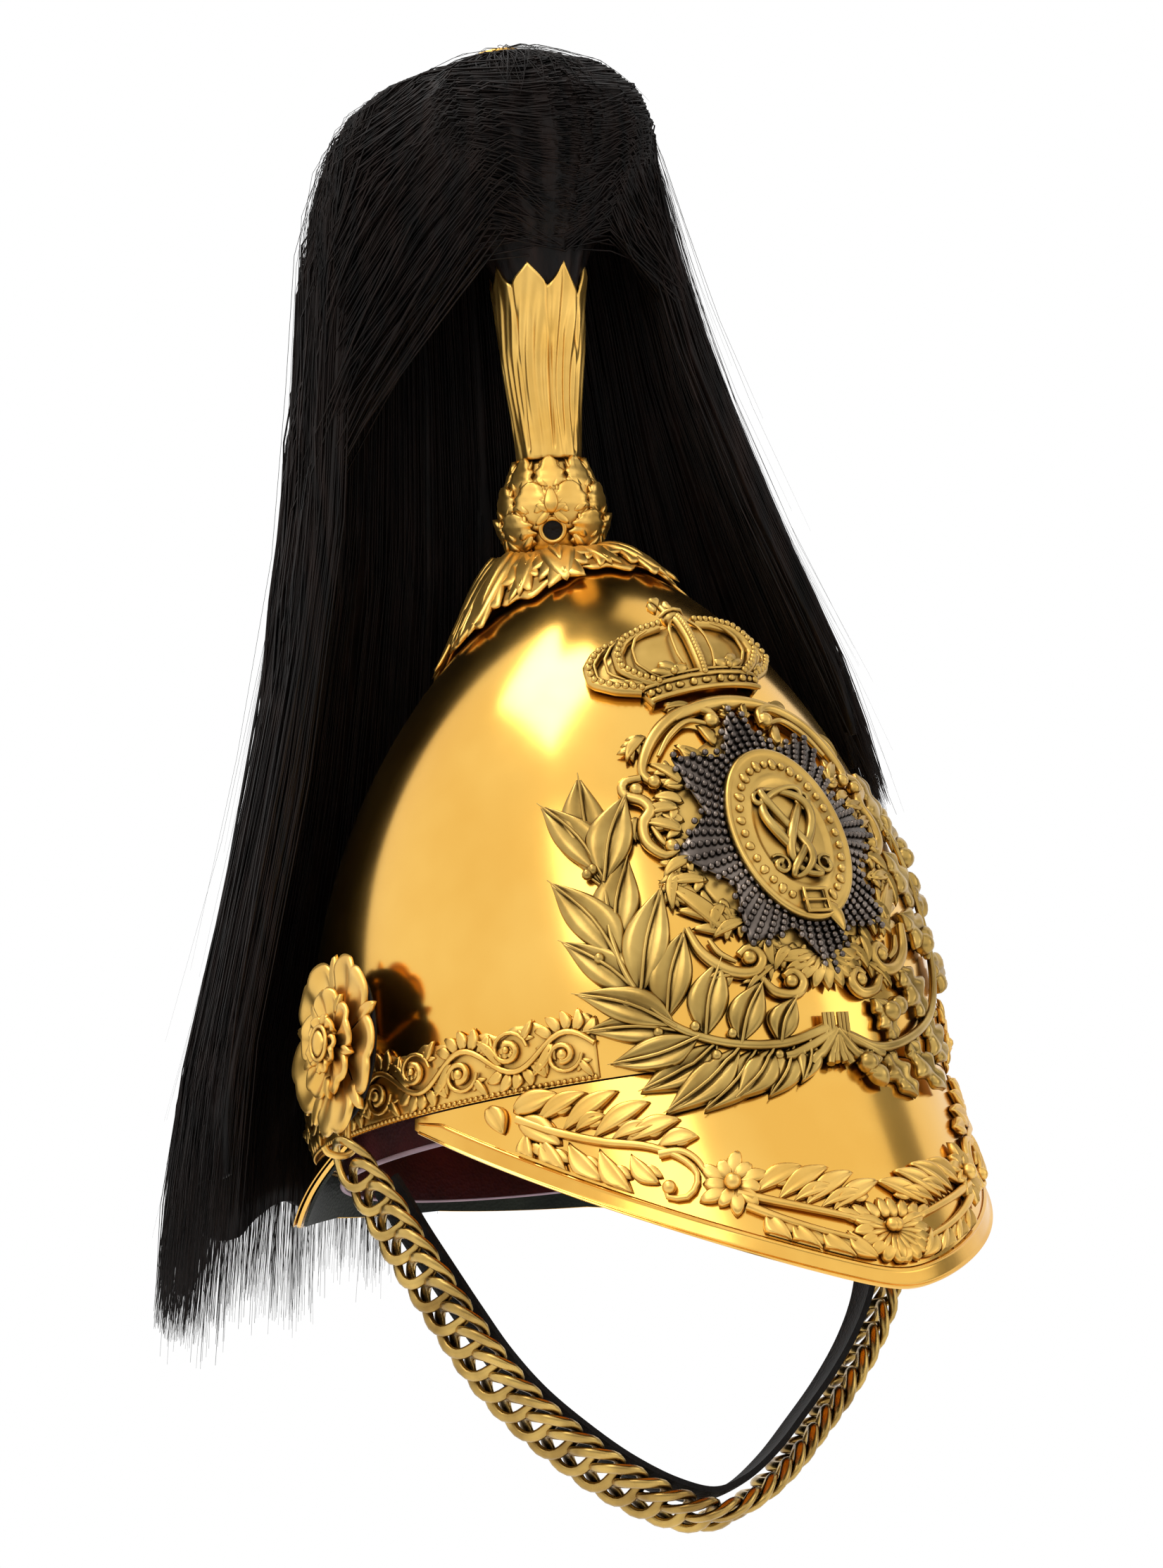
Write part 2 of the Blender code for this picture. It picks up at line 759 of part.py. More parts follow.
def build_ball():
    stud_drop = -3.5 * mm
    profile = [(base_bore - 5 * clearance, stud_drop), (base_bore - 5 * clearance, 2 * clearance),
               (0.62 * ball_radius, 2 * clearance), (0.90 * ball_radius, 0.20 * ball_tall),
               (ball_radius, 0.48 * ball_tall), (0.86 * ball_radius, 0.80 * ball_tall),
               (0.66 * ball_radius, ball_tall)]

    def wobble(turn, rise, radius, up):
        if radius > 0.6 * ball_radius:
            radius *= 1 + 0.05 * math.cos(8 * turn)
        return radius, up
    return turned("plume_ball", profile, 16, "gilt_satin", wobble)


def build_socket():
    foot = ball_tall + clearance
    heights = (0.0, 0.25, 0.55, 0.82, 1.0)
    shape = (socket_foot_radius, socket_waist_radius, 0.5 * (socket_waist_radius + socket_mouth_radius),
             0.93 * socket_mouth_radius, socket_mouth_radius)

    def skin(inset):
        def place(share, rise):
            turn = share * 2 * math.pi
            row = round(rise * 4)
            radius = shape[row] - inset
            top = socket_tall - socket_tips * (0.5 - 0.5 * math.cos(socket_points * turn)) * (row == 4)
            up = foot + heights[row] * top
            flute = 1 + 0.035 * math.cos(socket_points * turn)
            return stem_point(radius * flute * math.sin(turn), -radius * flute * math.cos(turn), up)
        return place
    return sheet("plume_socket", socket_points * 2, 4, skin(0.0), skin(socket_wall), "gilt_satin", closed=True)


# Plume: share of the fall, then reach from the stem and height as shares of the sizes below
fall_table = {
    "share": (0.0, 0.07, 0.16, 0.30, 0.46, 0.62, 0.80, 1.0),
    "side_reach": (0.06, 0.22, 0.335, 0.455, 0.565, 0.72, 0.91, 1.0),
    "height": (0.992, 1.0, 0.955, 0.80, 0.58, 0.36, 0.15, 0.0),
}
# Round the stem from the wearer's right, over the back, to the left front: turn in degrees, reach
# as a share of plume_reach and lowest point as a share of plume_top
mane_table = {
    "turn": (70, 58, 40, 18, 0, -8, -40, -62, -76, -102, -128),
    "reach": (0.90, 1.0, 1.0, 0.925, 0.85, 0.80, 0.785, 0.76, 0.72, 0.67, 0.66),
    "end": (-0.105, -0.137, -0.152, -0.111, -0.064, 0.053, 0.053, 0.088, 0.234, 0.246, 0.275),
}


def mane_point(across, fall, depth):
    turns = mane_table["turn"]
    turn_deg = turns[0] + (turns[-1] - turns[0]) * across
    turn = math.radians(turn_deg)
    reach = plume_reach * between(turns, mane_table["reach"], turn_deg)
    end = plume_top * between(turns, mane_table["end"], turn_deg)
    z = end + (plume_top - end) * between(fall_table["share"], fall_table["height"], fall)
    out = reach * between(fall_table["share"], fall_table["side_reach"], fall)
    direction = Vector((-math.sin(turn), math.cos(turn), 0))
    spot = Vector((0, 0, z)) + direction * (out - depth)
    if z < skull_top:
        half_length, half_width, middle = ring_at(max(z, 0.0))
        flare = guard_flare * max(-z, 0.0)
        wall = 1 / math.sqrt((direction.x / (half_width + flare)) ** 2
                             + (direction.y / (half_length + flare)) ** 2)
        least = wall + plume_stand
        if spot.xy.length < least:
            spot = Vector((direction.x * least, direction.y * least, z))
    return spot


def build_plume():
    locks = 11
    columns = locks * 2

    def thickness(fall):
        return plume_hair_depth * (0.35 + 0.65 * math.sin(min(fall * 1.6, 1.0) * math.pi / 2)) * (1 - 0.6 * fall)

    def outer(across, fall):
        ridge = lock_ridge * math.cos(across * locks * 2 * math.pi) * fall
        spot = mane_point(across, fall, -ridge)
        if fall >= 1:
            spot.z -= lock_tip * (0.5 + 0.5 * math.cos(across * locks * 2 * math.pi))
        return spot

    def inner(across, fall):
        spot = mane_point(across, fall, 0.0)
        flat = Vector((spot.x, spot.y, 0))
        deep = thickness(fall)
        if spot.z < skull_top + lock_tip:
            deep = min(deep, plume_thin_depth)
        if fall >= 1:
            spot.z -= lock_tip * (0.5 + 0.5 * math.cos(across * locks * 2 * math.pi))
        return spot - flat.normalized() * min(deep, flat.length * 0.8)
    mane = sheet("plume", columns, 8, outer, inner, "horsehair")
    core_top = plume_top - 0.18 * plume_cap_radius
    foot = stem_point(0, 0, ball_tall + 2 * clearance)
    mouth = stem_point(0, 0, ball_tall + socket_tall * 0.5)
    crown_point = Vector((0, 0, core_top))
    path = [foot, mouth, Vector((0, 0.4 * mouth.y, 0.5 * (mouth.z + core_top))), crown_point]
    slim = socket_foot_radius - socket_wall - 3 * clearance
    core = tube("plume_core", path, [slim, slim, plume_core_radius, plume_head_radius], 10, "horsehair")
    cap_rows = ((0.82, 0.64), (0.41, 1.0), (0.0, 0.73))
    cap = [Vector((0, 0.1 * plume_cap_radius, plume_top - down * plume_cap_radius)) for down, _ in cap_rows]
    head = tube("plume_head", cap, [wide * plume_cap_radius for _, wide in cap_rows], 12, "horsehair")
    return fuse("plume", [mane, core, head])


# The gilt cap of the plume's screw, just seen in the hair at the very top
def build_plume_rosette():
    rows = ((0.0, 0.92), (0.5, 1.0), (1.0, 0.55))
    spots = [Vector((0, 0.1 * plume_cap_radius, plume_top + clearance + up * rosette_tall)) for up, _ in rows]
    return tube("plume_rosette", spots, [wide * rosette_radius for _, wide in rows], 16, "gilt_satin")


# Where a side rose sits: the middle of its back, and its own directions
def rose_frame(sign):
    middle = Vector((sign * (skull_half_width + rose_stand), rose_back, rose_height))
    face = Matrix.Rotation(-sign * rose_tilt, 4, "Y") @ Matrix.Rotation(sign * rose_turn, 4, "Z")
    out = (face @ Vector((sign, 0, 0))).normalized()
    right = Vector((0, 0, 1)).cross(out).normalized()
    return middle, out, right, out.cross(right)


# A double rose of five outer and five inner petals round a boss, with the chain's hook behind it
def build_rose(name, sign):
    middle, out, right, up = rose_frame(sign)

    def petal(turn, count, depth):
        return 1 - depth * abs(math.sin(turn * count / 2)) ** 6

    def place(turn, ring, deep):
        if deep:
            reach = rose_radius * ring * petal(turn + math.pi / 5, 5, 0.12) * 0.97
            lift = 0.0
        elif ring > 0.5:
            reach = rose_radius * ring * petal(turn + math.pi / 5, 5, 0.12)
            lift = rose_depth * (0.55 + 0.35 * (ring - 0.5))
        else:
            reach = rose_radius * ring * petal(turn, 5, 0.15)
            lift = rose_depth * (1.0 + 0.35 * (0.5 - ring))
        return middle + right * reach * math.sin(turn) + up * reach * math.cos(turn) + out * lift
    bloom = disc(name, 20, 3, lambda t, r: place(t, r, False), lambda t, r: place(t, r, True), "gilt_satin")
    aside = -sign * (math.pi / 2 + rose_back / skull_half_length)
    base = on_ring(aside, 1.12 * band_height + stud_radius + 2 * clearance, 1.6 * clearance)
    stud = tube(name + "_stud", [base, middle + out * 1.0 * mm], [stud_radius] * 2, 8, "gilt_satin")
    behind = 1.8 * hook_wire
    bend = ((-behind, 0.0), (-1.0 * behind, 0.1), (-1.9 * behind, 0.62), (-1.4 * hook_wire, 1.0),
            (1.6 * hook_wire, 1.06), (4.4 * hook_wire, 0.92), (5.6 * hook_wire, 0.6))
    path = [middle - out * behind]
    for deep, fall in bend[1:]:
        path.append(middle + out * deep - up * (rose_radius + hook_reach * fall))
    hook = tube(name + "_hook", path, [hook_wire] * len(path), 6, "gilt_satin")
    return fuse(name, [bloom, stud, hook])


# The first link's upper end rests in the hook's bend
def hook_seat(sign):
    middle, out, _, up = rose_frame(sign)
    bend = middle - out * 1.4 * hook_wire - up * (rose_radius + hook_reach)
    first = Vector(chain_route[0]) * mm
    along = (Vector((-sign * first.x, first.y, first.z)) - bend).normalized()
    link_half = link_pitch / 2 + link_wire * link_bite
    return bend + along * (link_half - link_wire - hook_wire - 2 * clearance)


def full_route():
    half = [hook_seat(-1)] + [Vector(p) * mm for p in chain_route]
    other = [Vector((-p.x, p.y, p.z)) for p in reversed(half[:-1])]
    return half + other


def chain_frames(count):
    line = smooth_path(full_route(), count)
    frames = []
    for index, spot in enumerate(line):
        ahead = line[min(index + 1, count - 1)]
        behind = line[max(index - 1, 0)]
        along = (ahead - behind).normalized()
        back = Vector((0, 1, 0))
        back = (back - along * back.dot(along)).normalized()
        out = back.cross(along).normalized()
        if out.dot(spot - Vector((0, 0, -20 * mm))) < 0:
            out = -out
        tilt = Matrix.Rotation(chain_turn, 4, along)
        if (tilt @ out).y > out.y:
            tilt = Matrix.Rotation(-chain_turn, 4, along)
        frames.append((spot, along, tilt @ back, tilt @ out))
    return frames


def route_length():
    line = smooth_path(full_route(), 200)
    return sum((b - a).length for a, b in zip(line, line[1:]))


def build_chain():
    links = round(route_length() / link_pitch) + 1
    pieces = []
    for index, (spot, along, across, out) in enumerate(chain_frames(links)):
        size = 0.86 + 0.14 * math.sin(index / (links - 1) * math.pi)
        half_long = (link_pitch / 2 + link_wire * link_bite)
        path = []
        for step in range(link_steps):
            turn = 2 * math.pi * step / link_steps
            run = half_long * math.cos(turn)
            side = link_half_width * size * math.sin(turn)
            twist = link_twist * math.cos(turn)
            path.append(spot + along * run + across * side * math.cos(twist) + out * side * math.sin(twist))
        pieces.append(tube(f"link_{index}", path, [link_wire * size] * link_steps, link_sides,
                           "chain_brass", closed=True, reference=out))
    return fuse("chin_chain", [gather("links_even", pieces[::2]), gather("links_odd", pieces[1::2])])


def build_strap():
    frames = chain_frames(24)

    def skin(offset):
        def place(share, side):
            spot, _, across, out = frames[1 + round(share * (len(frames) - 3))]
            return spot + across * strap_width * (side - 0.5) - out * offset
        return place
    near = link_wire + link_half_width * math.sin(link_twist) * 0.5 + clearance
    return sheet("chin_strap", len(frames) - 3, 1, skin(near), skin(near + strap_thickness), "leather_black")


clear_scene()
build_skull()
build_peak()
build_peak_rim()
build_guard()
build_guard_rim()
build_linings()
build_sweatband()
build_headband("headband_right", 1)
build_headband("headband_left", -1)
build_plate()
build_crown()
build_wreath()
build_peak_foliage("peak_spray_right", 1)
build_peak_foliage("peak_spray_left", -1)
build_plume_base()
build_ball()
build_socket()
build_plume()
build_plume_rosette()
build_rose("rose_right", -1)
build_rose("rose_left", 1)
build_chain()
build_strap()
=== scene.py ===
import math
import random

import bmesh
import bpy
from mathutils import Matrix, Vector


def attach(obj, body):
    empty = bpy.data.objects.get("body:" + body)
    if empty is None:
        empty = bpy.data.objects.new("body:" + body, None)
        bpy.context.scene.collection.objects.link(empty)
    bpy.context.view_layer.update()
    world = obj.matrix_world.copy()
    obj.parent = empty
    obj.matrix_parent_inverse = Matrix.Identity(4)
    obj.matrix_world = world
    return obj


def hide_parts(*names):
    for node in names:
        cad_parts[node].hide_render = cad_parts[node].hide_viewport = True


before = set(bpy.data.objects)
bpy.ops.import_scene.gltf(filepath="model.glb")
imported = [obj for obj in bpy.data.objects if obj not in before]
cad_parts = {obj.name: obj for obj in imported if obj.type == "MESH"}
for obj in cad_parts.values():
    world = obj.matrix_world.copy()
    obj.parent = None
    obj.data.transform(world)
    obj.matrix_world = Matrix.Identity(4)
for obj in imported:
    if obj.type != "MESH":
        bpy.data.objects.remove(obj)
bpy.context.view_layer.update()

mm = 0.001
rng = random.Random(7)
scene = bpy.context.scene

# Camera, at the photograph's angle: from the front, to the wearer's right, looking slightly up
cameraPlace = {"azimuth": -33.73, "elevation": -9.42, "roll": -6.71, "right": -9.98, "up": -0.06,
               "distance": 2444.0, "focus": (0, -13.5, 103.4), "lens": 179.89}


def setCamera(place):
    a, e, r = (math.radians(place[k]) for k in ("azimuth", "elevation", "roll"))
    back = Vector((math.sin(a) * math.cos(e), -math.cos(a) * math.cos(e), math.sin(e)))
    level = Vector((math.cos(a), math.sin(a), 0))
    above = back.cross(level)
    right = level * math.cos(r) + above * math.sin(r)
    up = above * math.cos(r) - level * math.sin(r)
    spot = Vector(place["focus"]) + back * place["distance"] + right * place["right"] + up * place["up"]
    camera = bpy.data.objects.new("camera", bpy.data.cameras.new("camera"))
    camera.data.lens = place["lens"]
    camera.data.sensor_fit = "VERTICAL"
    camera.data.sensor_height = 36
    camera.data.clip_end = 20
    camera.matrix_world = Matrix.Translation(spot * mm) @ Matrix((right, up, back)).transposed().to_4x4()
    scene.collection.objects.link(camera)
    scene.camera = camera
    return back


towardCamera = setCamera(cameraPlace)
scene.view_settings.view_transform = "Standard"
print("camera set")

# Sizes in millimetres, the same as the solids'
skull = {"length": 113.5, "width": 90.7, "top": 175.3, "straight": 14.0, "forward": 13.5, "sheet": 1.2}
peak = {"end": math.radians(82), "drop": 75.0, "power": 1.09, "flareSide": 0.15, "flareFront": 0.33,
        "border": 6.4}
guard = {"end": math.radians(101), "drop": 20.0, "flare": 0.45,
         "side": (0.0, 0.38, 0.55, 0.67, 0.81, 0.93, 1.0), "fall": (0.52, 0.66, 0.86, 1.0, 0.58, 0.26, 0.05)}
band = {"height": 22.0, "end": 179.8}
perDegree = 1.72     # millimetres round the skull's foot for each degree
stem = {"back": 4.5, "lean": math.radians(5.8), "foot": 179.0, "ball": 31.0, "ballRadius": 16.5,
        "socket": 62.0}
rose = {"radius": 28.5, "stand": 8.0, "height": 26.5, "back": 5.0, "tilt": 6, "turn": 5, "hook": 1.1,
        "reach": 5.5}


def lerpTable(xs, ys, at):
    for i in range(len(xs) - 1):
        if min(xs[i], xs[i + 1]) <= at <= max(xs[i], xs[i + 1]):
            return ys[i] + (ys[i + 1] - ys[i]) * (at - xs[i]) / (xs[i + 1] - xs[i])
    return ys[-1] if abs(at - xs[-1]) < abs(at - xs[0]) else ys[0]


# The skull's form: level ellipses that draw together and forward as they rise
def ringAt(z):
    t = min(max((z - skull["straight"]) / (skull["top"] - skull["straight"]), 0.0), 0.99995)
    return (skull["length"] * (1 - t ** 1.6) ** (1 / 1.48), skull["width"] * (1 - t ** 2.3) ** (1 / 1.43),
            -skull["forward"] * t * t)


def skullRing(angle, z):
    length, width, middle = ringAt(z)
    return Vector((-width * math.sin(angle), middle - length * math.cos(angle), z))


def ringLevel(x, y, z):
    length, width, middle = ringAt(z)
    return (x / width) ** 2 + ((y - middle) / length) ** 2


def outward(p):
    base = ringLevel(p.x, p.y, p.z)
    step = 0.2 if p.z < skull["top"] - 0.4 else -0.2
    slope = Vector((ringLevel(p.x + 0.2, p.y, p.z) - base, ringLevel(p.x, p.y + 0.2, p.z) - base,
                    (ringLevel(p.x, p.y, p.z + step) - base) * (1 if step > 0 else -1)))
    return slope.normalized()


def liftOff(p, lift):
    return p + outward(p) * lift


def flared(angle, drop, flare, lift):
    base = skullRing(angle, 0.0)
    out = Vector((base.x / skull["width"] ** 2, base.y / skull["length"] ** 2, 0)).normalized()
    face = (out + Vector((0, 0, flare))).normalized()
    return base + out * (drop * flare) - Vector((0, 0, drop)) + face * lift


def peakFlare(angle):
    return peak["flareSide"] + (peak["flareFront"] - peak["flareSide"]) * math.cos(angle) ** 4


def peakEdge(angle):
    blunt = math.radians(5)
    spread = math.sqrt(angle ** 2 + blunt ** 2) - blunt * 0.6
    return peak["drop"] * max(1 - (spread / peak["end"]) ** peak["power"], 0.02)


def guardEdge(turn):
    side = min(abs(turn) / (math.pi - guard["end"]), 1.0)
    return guard["drop"] * lerpTable(guard["side"], guard["fall"], side)


# Charts: each lays a flat drawing in millimetres on one of the helmet's faces, raised by a lift
def frontChart(x, z, lift):
    if z < 0:
        angle = -math.asin(max(min(x / skull["width"], 0.999), -0.999))
        return flared(angle, -z, peakFlare(angle), lift)
    length, width, middle = ringAt(z)
    side = min(abs(x) / width, 0.999)
    return liftOff(Vector((x, middle - length * math.sqrt(1 - side ** 2), z)), lift)


def bandChart(s, z, lift):
    return liftOff(skullRing(math.radians(s), z), lift)


def peakChart(a, drop, lift):
    angle = math.radians(a)
    return flared(angle, drop, peakFlare(angle), lift)


def topChart(x, y, lift):
    low, high = skull["straight"], skull["top"]
    for _ in range(22):
        mid = (low + high) / 2
        if ringLevel(x, y, mid) < 1:
            low = mid
        else:
            high = mid
    return liftOff(Vector((x, y, min(low, skull["top"] - 0.5))), lift)


stemTurn = Matrix.Rotation(stem["lean"], 3, "X")


def stemPoint(x, y, up):
    return Vector((0, stem["back"], stem["foot"])) + stemTurn @ Vector((x, y, up))


# ---- modelling tools
def finishPiece(name, bm, material, nodes=(), sharp=None):
    bmesh.ops.scale(bm, vec=(mm, mm, mm), verts=bm.verts)
    mesh = bpy.data.meshes.new(name)
    bm.to_mesh(mesh)
    bm.free()
    piece = bpy.data.objects.new(name, mesh)
    scene.collection.objects.link(piece)
    mesh.materials.append(material)
    mesh.shade_smooth()
    if sharp:
        mesh.set_sharp_from_angle(angle=math.radians(sharp))
    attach(piece, "root")
    if nodes:
        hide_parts(*nodes)
    print("made", name, len(mesh.polygons))
    return piece


# A grid bent to a face and given a thickness on its under side
def bentSheet(bm, across, down, place, thick=0.0, closed=False):
    made = bmesh.ops.create_grid(bm, x_segments=across, y_segments=down, size=0.5)["verts"]
    for vert in made:
        vert.co = place(vert.co.x + 0.5, vert.co.y + 0.5)
    if closed:
        bmesh.ops.remove_doubles(bm, verts=made, dist=0.01)
        made = [v for v in made if v.is_valid]
    faces = list({f for v in made for f in v.link_faces})
    bmesh.ops.recalc_face_normals(bm, faces=faces)
    middle = sum((f.calc_center_median() for f in faces), Vector()) / len(faces)
    facing = sum(f.normal.dot(f.calc_center_median() - Vector((0, 0, middle.z - 40))) for f in faces)
    if facing < 0:
        bmesh.ops.reverse_faces(bm, faces=faces)
    if thick:
        bmesh.ops.solidify(bm, geom=faces, thickness=thick)
    return made


# A ball of radius 1 in a bmesh of its own, copied from one that is made once for each number of sides
ballMeshes = {}


def newBall(rounds, rings):
    if (rounds, rings) not in ballMeshes:
        first = bmesh.new()
        bmesh.ops.create_uvsphere(first, u_segments=rounds, v_segments=rings, radius=1.0)
        ballMeshes[rounds, rings] = bpy.data.meshes.new("ball")
        first.to_mesh(ballMeshes[rounds, rings])
        first.free()
    ball = bmesh.new()
    ball.from_mesh(ballMeshes[rounds, rings])
    return ball


def joinBall(bm, ball):
    mesh = bpy.data.meshes.new("joined")
    ball.to_mesh(mesh)
    ball.free()
    bm.from_mesh(mesh)
    bpy.data.meshes.remove(mesh)


# A raised leaf: a ball drawn out from root to tip, flat below, creased along its rib
def addLeaf(bm, chart, root, tip, width, height=2.2, bend=0.0, lobes=0, base=0.0, rib=0.45, fat=0.8,
            lobeDepth=0.34, rounds=12, rings=10, tipLift=0.0, sharp=0.85, groove=0.2):
    run = Vector((tip[0] - root[0], tip[1] - root[1]))
    size = run.length
    run.normalize()
    side = Vector((-run.y, run.x))
    ball = newBall(rounds, rings)
    for vert in ball.verts:
        along = math.acos(max(min(-vert.co.z, 1), -1)) / math.pi
        turn = math.atan2(vert.co.y, vert.co.x)
        outline = max(math.sin(math.pi * along ** fat), 0.0) ** sharp
        if lobes:
            outline *= 1 - lobeDepth * (0.5 + 0.5 * math.cos(2 * math.pi * lobes * along + 0.6))
        across = math.cos(turn)
        over = math.sin(turn)
        spot = run * (size * along) + side * (across * width / 2 * outline + bend * 4 * along * (1 - along))
        if over > 0:
            crease = rib * math.exp(-(across / groove) ** 2)
            lift = base + height * (outline ** 0.6) * (over ** 0.6) * (1 - crease) + tipLift * along ** 2
        else:
            lift = base - 0.25
        vert.co = chart(root[0] + spot.x, root[1] + spot.y, lift)
    joinBall(bm, ball)


# An acanthus leaf: a long middle finger with pairs of shorter ones spreading from its rib
def acanthus(bm, chart, root, tip, width, height=2.2, base=0.6, pairs=3, bend=0.0, tipLift=0.0):
    run = Vector((tip[0] - root[0], tip[1] - root[1]))
    side = Vector((-run.y, run.x)).normalized()
    for k in range(pairs):
        t = 0.08 + 0.62 * k / pairs
        for way in (-1, 1):
            start = run * t + side * bend * 4 * t * (1 - t)
            reach = run * (0.30 + 0.05 * k) + side * way * width * (0.50 - 0.09 * k)
            addLeaf(bm, chart, (root[0] + start.x, root[1] + start.y),
                    (root[0] + start.x + reach.x, root[1] + (start.y + reach.y)), width * 0.30, height * 0.85,
                    bend=-way * width * 0.05, base=base, rib=0.4, fat=0.7, rounds=8, rings=7,
                    tipLift=tipLift * 0.5)
    addLeaf(bm, chart, root, tip, width * 0.42, height * 1.15, bend=bend, base=base + height * 0.15, rib=0.5,
            rounds=10, rings=9, tipLift=tipLift)


def addBead(bm, spot, radius, rounds=8, rings=5):
    ball = newBall(rounds, rings)
    for vert in ball.verts:
        vert.co = spot + vert.co * radius
    joinBall(bm, ball)


# Many tubes as one curve with a bevel, made a mesh: runs are (points, radii, closed)
def tubeMesh(name, runs, sides=2):
    curve = bpy.data.curves.new(name, "CURVE")
    curve.dimensions = "3D"
    curve.bevel_depth = 1.0
    curve.bevel_resolution = sides
    curve.use_fill_caps = True
    for points, radii, closed in runs:
        spline = curve.splines.new("POLY")
        spline.points.add(len(points) - 1)
        for point, spot, radius in zip(spline.points, points, radii):
            point.co = (*spot, 1)
            point.radius = radius
        spline.use_cyclic_u = closed
    holder = bpy.data.objects.new(name, curve)
    scene.collection.objects.link(holder)
    mesh = bpy.data.meshes.new_from_object(holder.evaluated_get(bpy.context.evaluated_depsgraph_get()))
    bpy.data.objects.remove(holder, do_unlink=True)
    bpy.data.curves.remove(curve)
    return mesh


def addTubes(bm, runs, sides=2):
    mesh = tubeMesh("tubes", runs, sides)
    bm.from_mesh(mesh)
    bpy.data.meshes.remove(mesh)


def smoothRun(points, count):
    points = [Vector(p) for p in points]
    points = [points[0] * 2 - points[1]] + points + [points[-1] * 2 - points[-2]]
    spans = len(points) - 3
    dense = []
    for step in range(spans * 10 + 1):
        at = min(step / 10, spans - 1e-9)
        i, t = int(at), at - int(at)
        a, b, c, d = points[i:i + 4]
        dense.append(0.5 * (2 * b + (c - a) * t + (2 * a - 5 * b + 4 * c - d) * t ** 2
                            + (3 * b - a - 3 * c + d) * t ** 3))
    lengths = [0.0]
    for one, two in zip(dense, dense[1:]):
        lengths.append(lengths[-1] + (two - one).length)
    out, i = [], 0
    for step in range(count):
        want = lengths[-1] * step / (count - 1)
        while i < len(lengths) - 2 and lengths[i + 1] < want:
            i += 1
        span = lengths[i + 1] - lengths[i]
        out.append(dense[i].lerp(dense[i + 1], (want - lengths[i]) / span if span else 0.0))
    return out


# A scroll drawn on a chart: a stroke that curls up at its end, thick in the middle
def scrollRun(chart, center, size, start, turns, grow=0.28, radius=1.1, lift=1.0, steps=26):
    points, radii = [], []
    for step in range(steps):
        share = step / (steps - 1)
        turn = math.radians(start) + turns * 2 * math.pi * share
        reach = size * (grow + (1 - grow) * share ** 1.2)
        points.append(chart(center[0] + reach * math.cos(turn), center[1] + reach * math.sin(turn), lift))
        radii.append(radius * (1.25 - 0.75 * share) if share > 0.08 else radius * 1.5)
    return points, radii, False


# A closed ring of wire drawn on a chart
def ringRun(chart, center, size, lift, thick, steps):
    turns = [2 * math.pi * i / steps for i in range(steps)]
    points = [chart(center[0] + size * math.cos(t), center[1] + size * math.sin(t), lift) for t in turns]
    return points, [thick] * steps, True


# ---- finishes
def nodesOf(material):
    tree = material.node_tree
    return tree, tree.nodes, tree.links, tree.nodes["Principled BSDF"]


def noiseAt(nodes, links, scale, detail=3.0, rough=0.55, stretch=None):
    coordinate = nodes.new("ShaderNodeTexCoord")
    noise = nodes.new("ShaderNodeTexNoise")
    noise.inputs["Scale"].default_value = scale
    noise.inputs["Detail"].default_value = detail
    noise.inputs["Roughness"].default_value = rough
    if stretch:
        mapping = nodes.new("ShaderNodeMapping")
        mapping.inputs["Scale"].default_value = stretch
        links.new(coordinate.outputs["Object"], mapping.inputs["Vector"])
        links.new(mapping.outputs["Vector"], noise.inputs["Vector"])
    else:
        links.new(coordinate.outputs["Object"], noise.inputs["Vector"])
    return noise


def rampOf(nodes, links, source, stops):
    ramp = nodes.new("ShaderNodeValToRGB")
    ramp.color_ramp.elements[0].position, ramp.color_ramp.elements[0].color = stops[0]
    ramp.color_ramp.elements[1].position, ramp.color_ramp.elements[1].color = stops[-1]
    for place, color in stops[1:-1]:
        ramp.color_ramp.elements.new(place).color = color
    links.new(source, ramp.inputs["Fac"])
    return ramp


def bumpFrom(nodes, links, shader, source, strength, distance):
    bump = nodes.new("ShaderNodeBump")
    bump.inputs["Strength"].default_value = strength
    bump.inputs["Distance"].default_value = distance
    links.new(source, bump.inputs["Height"])
    links.new(bump.outputs["Normal"], shader.inputs["Normal"])


def makeMetal(name, light, dark, roughness, patinaAndShade=0.0, patinaAndShadeColor=(0.05, 0.025, 0.008), bump=0.1,
              scale=60.0, reach=0.0025, spread=0.08):
    material = bpy.data.materials.new(name)
    material.use_nodes = True
    tree, nodes, links, shader = nodesOf(material)
    shader.inputs["Metallic"].default_value = 1.0
    mottle = noiseAt(nodes, links, scale)
    tint = rampOf(nodes, links, mottle.outputs["Fac"], ((0.35, (*dark, 1)), (0.65, (*light, 1))))
    color = tint.outputs["Color"]
    # Hollows found by ambient occlusion are darkened towards a dark colour: painted shade in the recesses,
    # together with the metal's patina
    if patinaAndShade:
        hollow = nodes.new("ShaderNodeAmbientOcclusion")
        hollow.samples = 6
        hollow.inputs["Distance"].default_value = reach
        depth = rampOf(nodes, links, hollow.outputs["AO"], ((0.30, (1, 1, 1, 1)), (0.85, (0, 0, 0, 1))))
        amount = nodes.new("ShaderNodeMath")
        amount.operation = "MULTIPLY"
        amount.inputs[1].default_value = patinaAndShade
        links.new(depth.outputs["Color"], amount.inputs[0])
        mix = nodes.new("ShaderNodeMix")
        mix.data_type = "RGBA"
        mix.inputs["B"].default_value = (*patinaAndShadeColor, 1)
        links.new(amount.outputs["Value"], mix.inputs["Factor"])
        links.new(color, mix.inputs["A"])
        color = mix.outputs["Result"]
    links.new(color, shader.inputs["Base Color"])
    wear = noiseAt(nodes, links, scale * 2.3, 4.0)
    gloss = rampOf(nodes, links, wear.outputs["Fac"],
                   ((0.3, (roughness,) * 3 + (1,)), (0.75, (roughness + spread,) * 3 + (1,))))
    links.new(gloss.outputs["Color"], shader.inputs["Roughness"])
    fine = noiseAt(nodes, links, scale * 7, 3.0)
    bumpFrom(nodes, links, shader, fine.outputs["Fac"], bump, 0.0003)
    return material


